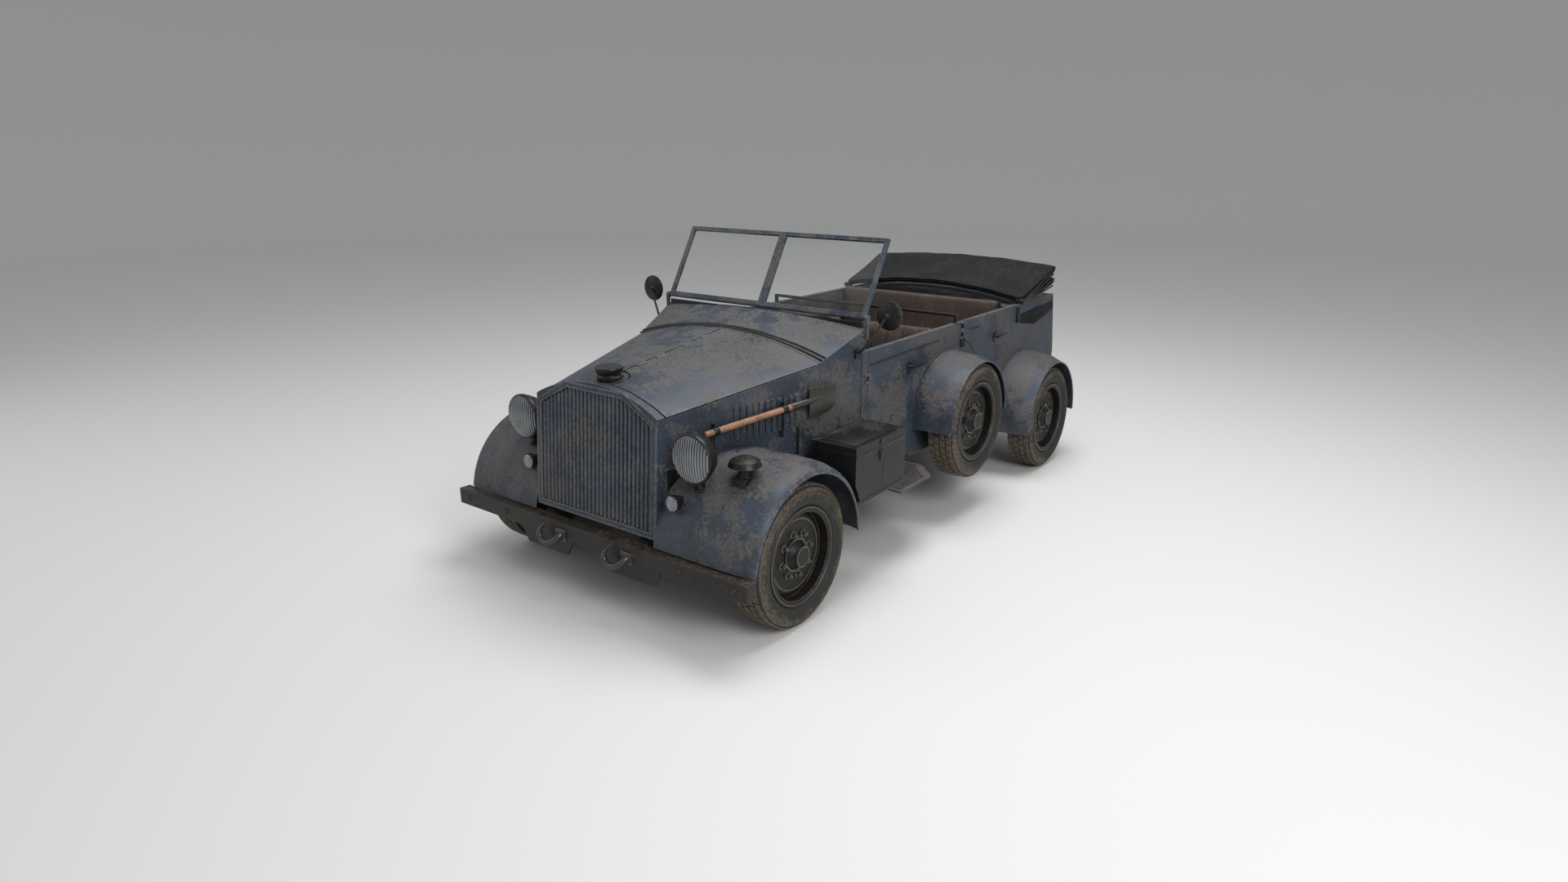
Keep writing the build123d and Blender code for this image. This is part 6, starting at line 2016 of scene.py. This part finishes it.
@dataclass
class Cabin(Assembly):
    """Dials, knobs, rail and mats inside, and the steering wheel's hub."""

    dash: float = 0.889
    dials: tuple[float, ...] = (-0.115, 0.0, 0.115)
    dial_height: float = 1.175
    dial_radius: float = 0.046
    knob_places: tuple[float, ...] = (-0.130, -0.065, 0.0, 0.065, 0.130)
    knob_height: float = 1.098
    rail_height: float = 1.130
    floor: float = 0.490
    rib_pitch: float = 0.034
    wheel: Spot = (0.350, 1.150, 1.120)
    column_foot: Spot = (0.350, 0.800, 0.868)

    def dress(self) -> None:
        """Build the dashboard's fittings, the mats and the hub."""
        panel = Bench.block("panel", self.at(-0.190, self.dash - 0.002, 1.070),
                            self.at(0.190, self.dash + 0.008, 1.232), 0.003)
        dark = [panel, *self.knobs()]
        faces = []
        size = self.dial_radius
        bezel = [(-0.002, size * 0.86), (0.007, size * 0.88), (0.009, size * 0.95), (0.006, size),
                 (-0.002, size)]
        face = [(-0.001, 0.0), (-0.001, size * 0.87), (0.003, size * 0.87), (0.003, 0.0)]
        for x in self.dials:
            place = Matrix.Translation(self.at(x, self.dash + 0.008, self.dial_height)) @ BACKWARD
            dark.append(Bench.moved(Bench.lathe("bezel", bezel, 32, closed=True), place))
            faces.append(Bench.turned("face", face, 32, place))
            hand = Bench.block("hand", (0.0025, -0.0012, -0.008), (0.0042, 0.0012, size * 0.68), 0.0005)
            dark.append(Bench.moved(hand, place @ Matrix.Rotation(0.7 + x * 6.0, 4, "X")))
            tick = Bench.block("tick", (0.0025, -0.0010, size * 0.68), (0.0040, 0.0010, size * 0.82), 0.0004)
            dark += [Bench.copy(tick, "tick", place @ turn) for turn in ring(12)]
            bpy.data.objects.remove(tick)
        bends = [
            # place across, how far it stands off the dashboard
            (-0.250, -0.002), (-0.250, 0.040), (-0.290, 0.048), (-0.520, 0.048), (-0.560, 0.040),
            (-0.560, -0.002),
        ]
        rail = [self.at(x, self.dash + out, self.rail_height) for x, out in bends]
        dark.append(Bench.tube("dash_rail", rail, 0.009, 10))
        self.fit(Bench.join("dash_fittings", dark), "car", Finish.DARK_PAINT)
        self.fit(Bench.join("dial_faces", faces), "car", Finish.LENS)
        self.fit(self.mats(), "car", Finish.TYRE)
        self.hub()

    def knobs(self) -> list[Piece]:
        """Row of pull knobs under the dials.

        Returns:
            The pieces.
        """
        knob = [(0.0, 0.0), (0.0, 0.005), (0.012, 0.005), (0.013, 0.010), (0.020, 0.011), (0.022, 0.008),
                (0.022, 0.0)]
        spots = [self.at(x, self.dash + 0.007, self.knob_height) for x in self.knob_places]
        return [Bench.turned("knob", knob, 16, Matrix.Translation(spot) @ BACKWARD) for spot in spots]

    def mats(self) -> Piece:
        """Ribbed rubber mats in the footwells.

        Returns:
            The mats.
        """
        limits = [
            # sides, front and rear
            (0.115, 0.670, 0.925, 1.345),
            (-0.670, -0.020, 0.925, 1.345),
            (-0.660, 0.660, 1.960, 2.280),
        ]
        parts = []
        for low_x, high_x, front, rear in limits:
            parts.append(Bench.block("mat", self.at(low_x, front, self.floor - 0.001),
                                     self.at(high_x, rear, self.floor + 0.004), 0.002))
            for index in range(int((rear - front) / self.rib_pitch)):
                start = front + 0.012 + index * self.rib_pitch
                parts.append(Bench.block("mat_rib", self.at(low_x + 0.020, start, self.floor + 0.003),
                                         self.at(high_x - 0.020, start + 0.014, self.floor + 0.0075), 0.002))
        return Bench.join("floor_mats", parts)

    def hub(self) -> None:
        """Domed horn button on the steering wheel, along its column."""
        centre = self.at(*self.wheel)
        turn = (centre - self.at(*self.column_foot)).to_track_quat("X", "Z").to_matrix().to_4x4()
        dome = [(0.004, 0.0), (0.004, 0.046), (0.014, 0.046), (0.020, 0.040), (0.025, 0.024), (0.0265, 0.0)]
        button = Bench.turned("horn_button", dome, 32, Matrix.Translation(centre) @ turn)
        self.fit(button, "steering_wheel", Finish.DARK_PAINT)


@dataclass
class TailTrim(Assembly):
    """Tail lamps, blank plate, lid bead and handles on the tail."""

    waist: Span = (3.590, 0.728)
    top: Span = (3.515, 1.160)
    low: Span = (3.565, 0.435)
    plate_height: float = 0.62
    handle_height: float = 1.02

    def face(self, height: float) -> float:
        """Station of the tail's outer face at a height."""
        start, end = (self.waist, self.top) if height > self.waist[1] else (self.waist, self.low)
        return start[0] + (height - start[1]) / (end[1] - start[1]) * (end[0] - start[0])

    def dress(self) -> None:
        """Build lamps, plate, bead and handles."""
        low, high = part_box("tail_lamps")
        lens = [(0.0, 0.0), (0.0, 0.0250), (0.007, 0.0245), (0.011, 0.018), (0.013, 0.008), (0.0135, 0.0)]
        rim = [(0.0, 0.0245), (0.0, 0.0300), (0.005, 0.0300), (0.007, 0.0270), (0.005, 0.0245)]
        bodies, lenses = [], []
        for _, sign in SIDES:
            x = sign * (high.x - 0.045)
            bodies.append(Bench.block("lamp_body", (x - 0.045, low.y, low.z),
                                      (x + 0.045, high.y - 0.012, high.z), 0.006))
            for z in (low.z + 0.031, high.z - 0.031):
                place = Matrix.Translation((x, high.y - 0.014, z)) @ BACKWARD
                lenses.append(Bench.turned("tail_lens", lens, 28, place))
                bodies.append(Bench.moved(Bench.lathe("lens_rim", rim, 28, closed=True), place))
        self.fit(Bench.join("tail_lamp_bodies", bodies), "car", Finish.DARK_PAINT, "tail_lamps")
        self.fit(Bench.join("tail_lamp_lenses", lenses), "car", Finish.RED_LENS)
        self.fit(self.lid(), "car", Finish.PAINT)
        self.fit(self.handles(), "car", Finish.IRON)
        back = self.face(self.plate_height)
        plate = Bench.block("number_plate", self.at(-0.170, back - 0.003, self.plate_height - 0.055),
                            self.at(0.170, back + 0.009, self.plate_height + 0.055), 0.003)
        self.fit(plate, "car", Finish.STEEL)

    def lid(self) -> Piece:
        """Raised bead round the locker lid.

        Returns:
            The bead.
        """
        corners = [(-0.54, 0.775), (-0.54, 1.105), (0.54, 1.105), (0.54, 0.775)]
        parts = []
        for (x0, z0), (x1, z1) in zip(corners, corners[1:] + corners[:1]):
            ends = [self.at(x, self.face(z) + 0.0005, z) for x, z in ((x0, z0), (x1, z1))]
            parts.append(Bench.tube("lid_bead", [ends[0], ends[0].lerp(ends[1], 0.5), ends[1]], 0.006, 10))
        return Bench.join("tail_lid_bead", parts)

    def handles(self) -> Piece:
        """Strap hinges below the lid and a bow handle above.

        Returns:
            The hinges and the handle.
        """
        parts = []
        for _, sign in SIDES:
            outline = [self.at(sign * 0.36 + x, self.face(z) - 0.001, z) for x, z in
                       ((-0.022, 0.745), (0.022, 0.745), (0.014, 0.900), (-0.014, 0.900))]
            parts.append(Bench.plate("hinge_strap", outline, (0, 0.006, 0), 0.0015))
        bends = [
            # place across, how far it stands off the tail
            (-0.075, -0.002), (-0.075, 0.018), (-0.060, 0.024), (0.060, 0.024), (0.075, 0.018),
            (0.075, -0.002),
        ]
        back = self.face(self.handle_height)
        bow = [self.at(x, back + out, self.handle_height) for x, out in bends]
        parts.append(Bench.tube("bow_handle", bow, 0.007, 10))
        return Bench.join("tail_handles", parts)


@dataclass
class Studio:
    """Pale floor, soft light and the camera at the photograph's place."""

    camera_place: Spot = (3.3178, -4.8187, 2.1952)
    yaw: float = 36.97
    pitch: float = -17.367
    lens: float = 21.483
    floor_radius: float = 19.0
    cove_radius: float = 9.0
    floor_colour: Colour = (0.70, 0.70, 0.69)
    sky_colour: Colour = (0.97, 0.985, 1.0)
    sky_strength: float = 0.42

    def build(self) -> None:
        """Set up floor, lights, world and camera."""
        scene = bpy.context.scene
        scene.view_settings.view_transform = "Standard"
        self.floor()
        self.world(scene)
        lamps = [
            # name, place, size, watts
            ("key", (0.9, 0.6, 6.6), 3.5, 300.0),
            ("side", (6.2, -3.6, 4.6), 3.2, 265.0),
            ("fill", (-5.5, -5.5, 4.0), 5.0, 70.0),
        ]
        for name, place, size, power in lamps:
            self.lamp(name, Vector(place), size, power)
        self.camera(scene)

    def floor(self) -> None:
        """Round pale floor that curves up all round, just below the tyres."""
        cove, turns = self.cove_radius, [math.radians(7.5 * step) for step in range(13)]
        curve = [(cove * (1.0 - math.cos(turn)), self.floor_radius + cove * math.sin(turn)) for turn in turns]
        floor = Bench.lathe("studio_floor", [(0.0, 0.0), *curve], 96)
        Bench.moved(floor, Matrix.Translation((0, 0, -0.0005)) @ UPWARD)
        g = Graph("studio_floor")
        g.set(Base_Color=self.floor_colour, Roughness=0.9, Specular_IOR_Level=0.1)
        floor.data.materials.append(g.material)

    def world(self, scene: bpy.types.Scene) -> None:
        """Even pale surroundings.

        Args:
            scene: The scene.
        """
        world = bpy.data.worlds.new("studio")
        world.use_nodes = True
        sky = world.node_tree.nodes["Background"]
        sky.inputs["Color"].default_value = (*self.sky_colour, 1.0)
        sky.inputs["Strength"].default_value = self.sky_strength
        scene.world = world

    def lamp(self, name: str, place: Vector, size: float, power: float) -> None:
        """One square soft lamp aimed at the car's middle.

        Args:
            name: Its name.
            place: Its place.
            size: Length of its side in metres.
            power: Its power in watts.
        """
        light = bpy.data.lights.new(name, "AREA")
        light.energy = power
        light.size = size
        lamp = bpy.data.objects.new(name, light)
        lamp.location = place
        lamp.rotation_euler = (Vector((0, 0, 0.8)) - place).to_track_quat("-Z", "Y").to_euler()
        bpy.context.scene.collection.objects.link(lamp)

    def camera(self, scene: bpy.types.Scene) -> None:
        """Camera at the photograph's place, turn and focal length.

        Args:
            scene: The scene.
        """
        camera = bpy.data.objects.new("camera", bpy.data.cameras.new("camera"))
        camera.data.lens = self.lens
        camera.data.sensor_width = 36.0
        camera.location = self.camera_place
        camera.rotation_euler = (math.radians(90 + self.pitch), 0, math.radians(self.yaw))
        scene.collection.objects.link(camera)
        scene.camera = camera


def main() -> None:
    """Load the frame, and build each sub-assembly on it."""
    logging.basicConfig(level=logging.INFO, format="%(name)s: %(message)s")
    for leftover in list(bpy.data.objects):
        bpy.data.objects.remove(leftover)
    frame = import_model()
    Bench.clear()
    palette = Palette()
    for kind in (Panels, Wheels, Lamps, Spade, FrontFittings, FoldedHood, Seats, BonnetTrim, DoorTrim,
                 BodyTrim, ToolboxTrim, Cabin, TailTrim):
        kind(frame, palette).dress()
    Studio().build()


if __name__ == "__main__":
    main()
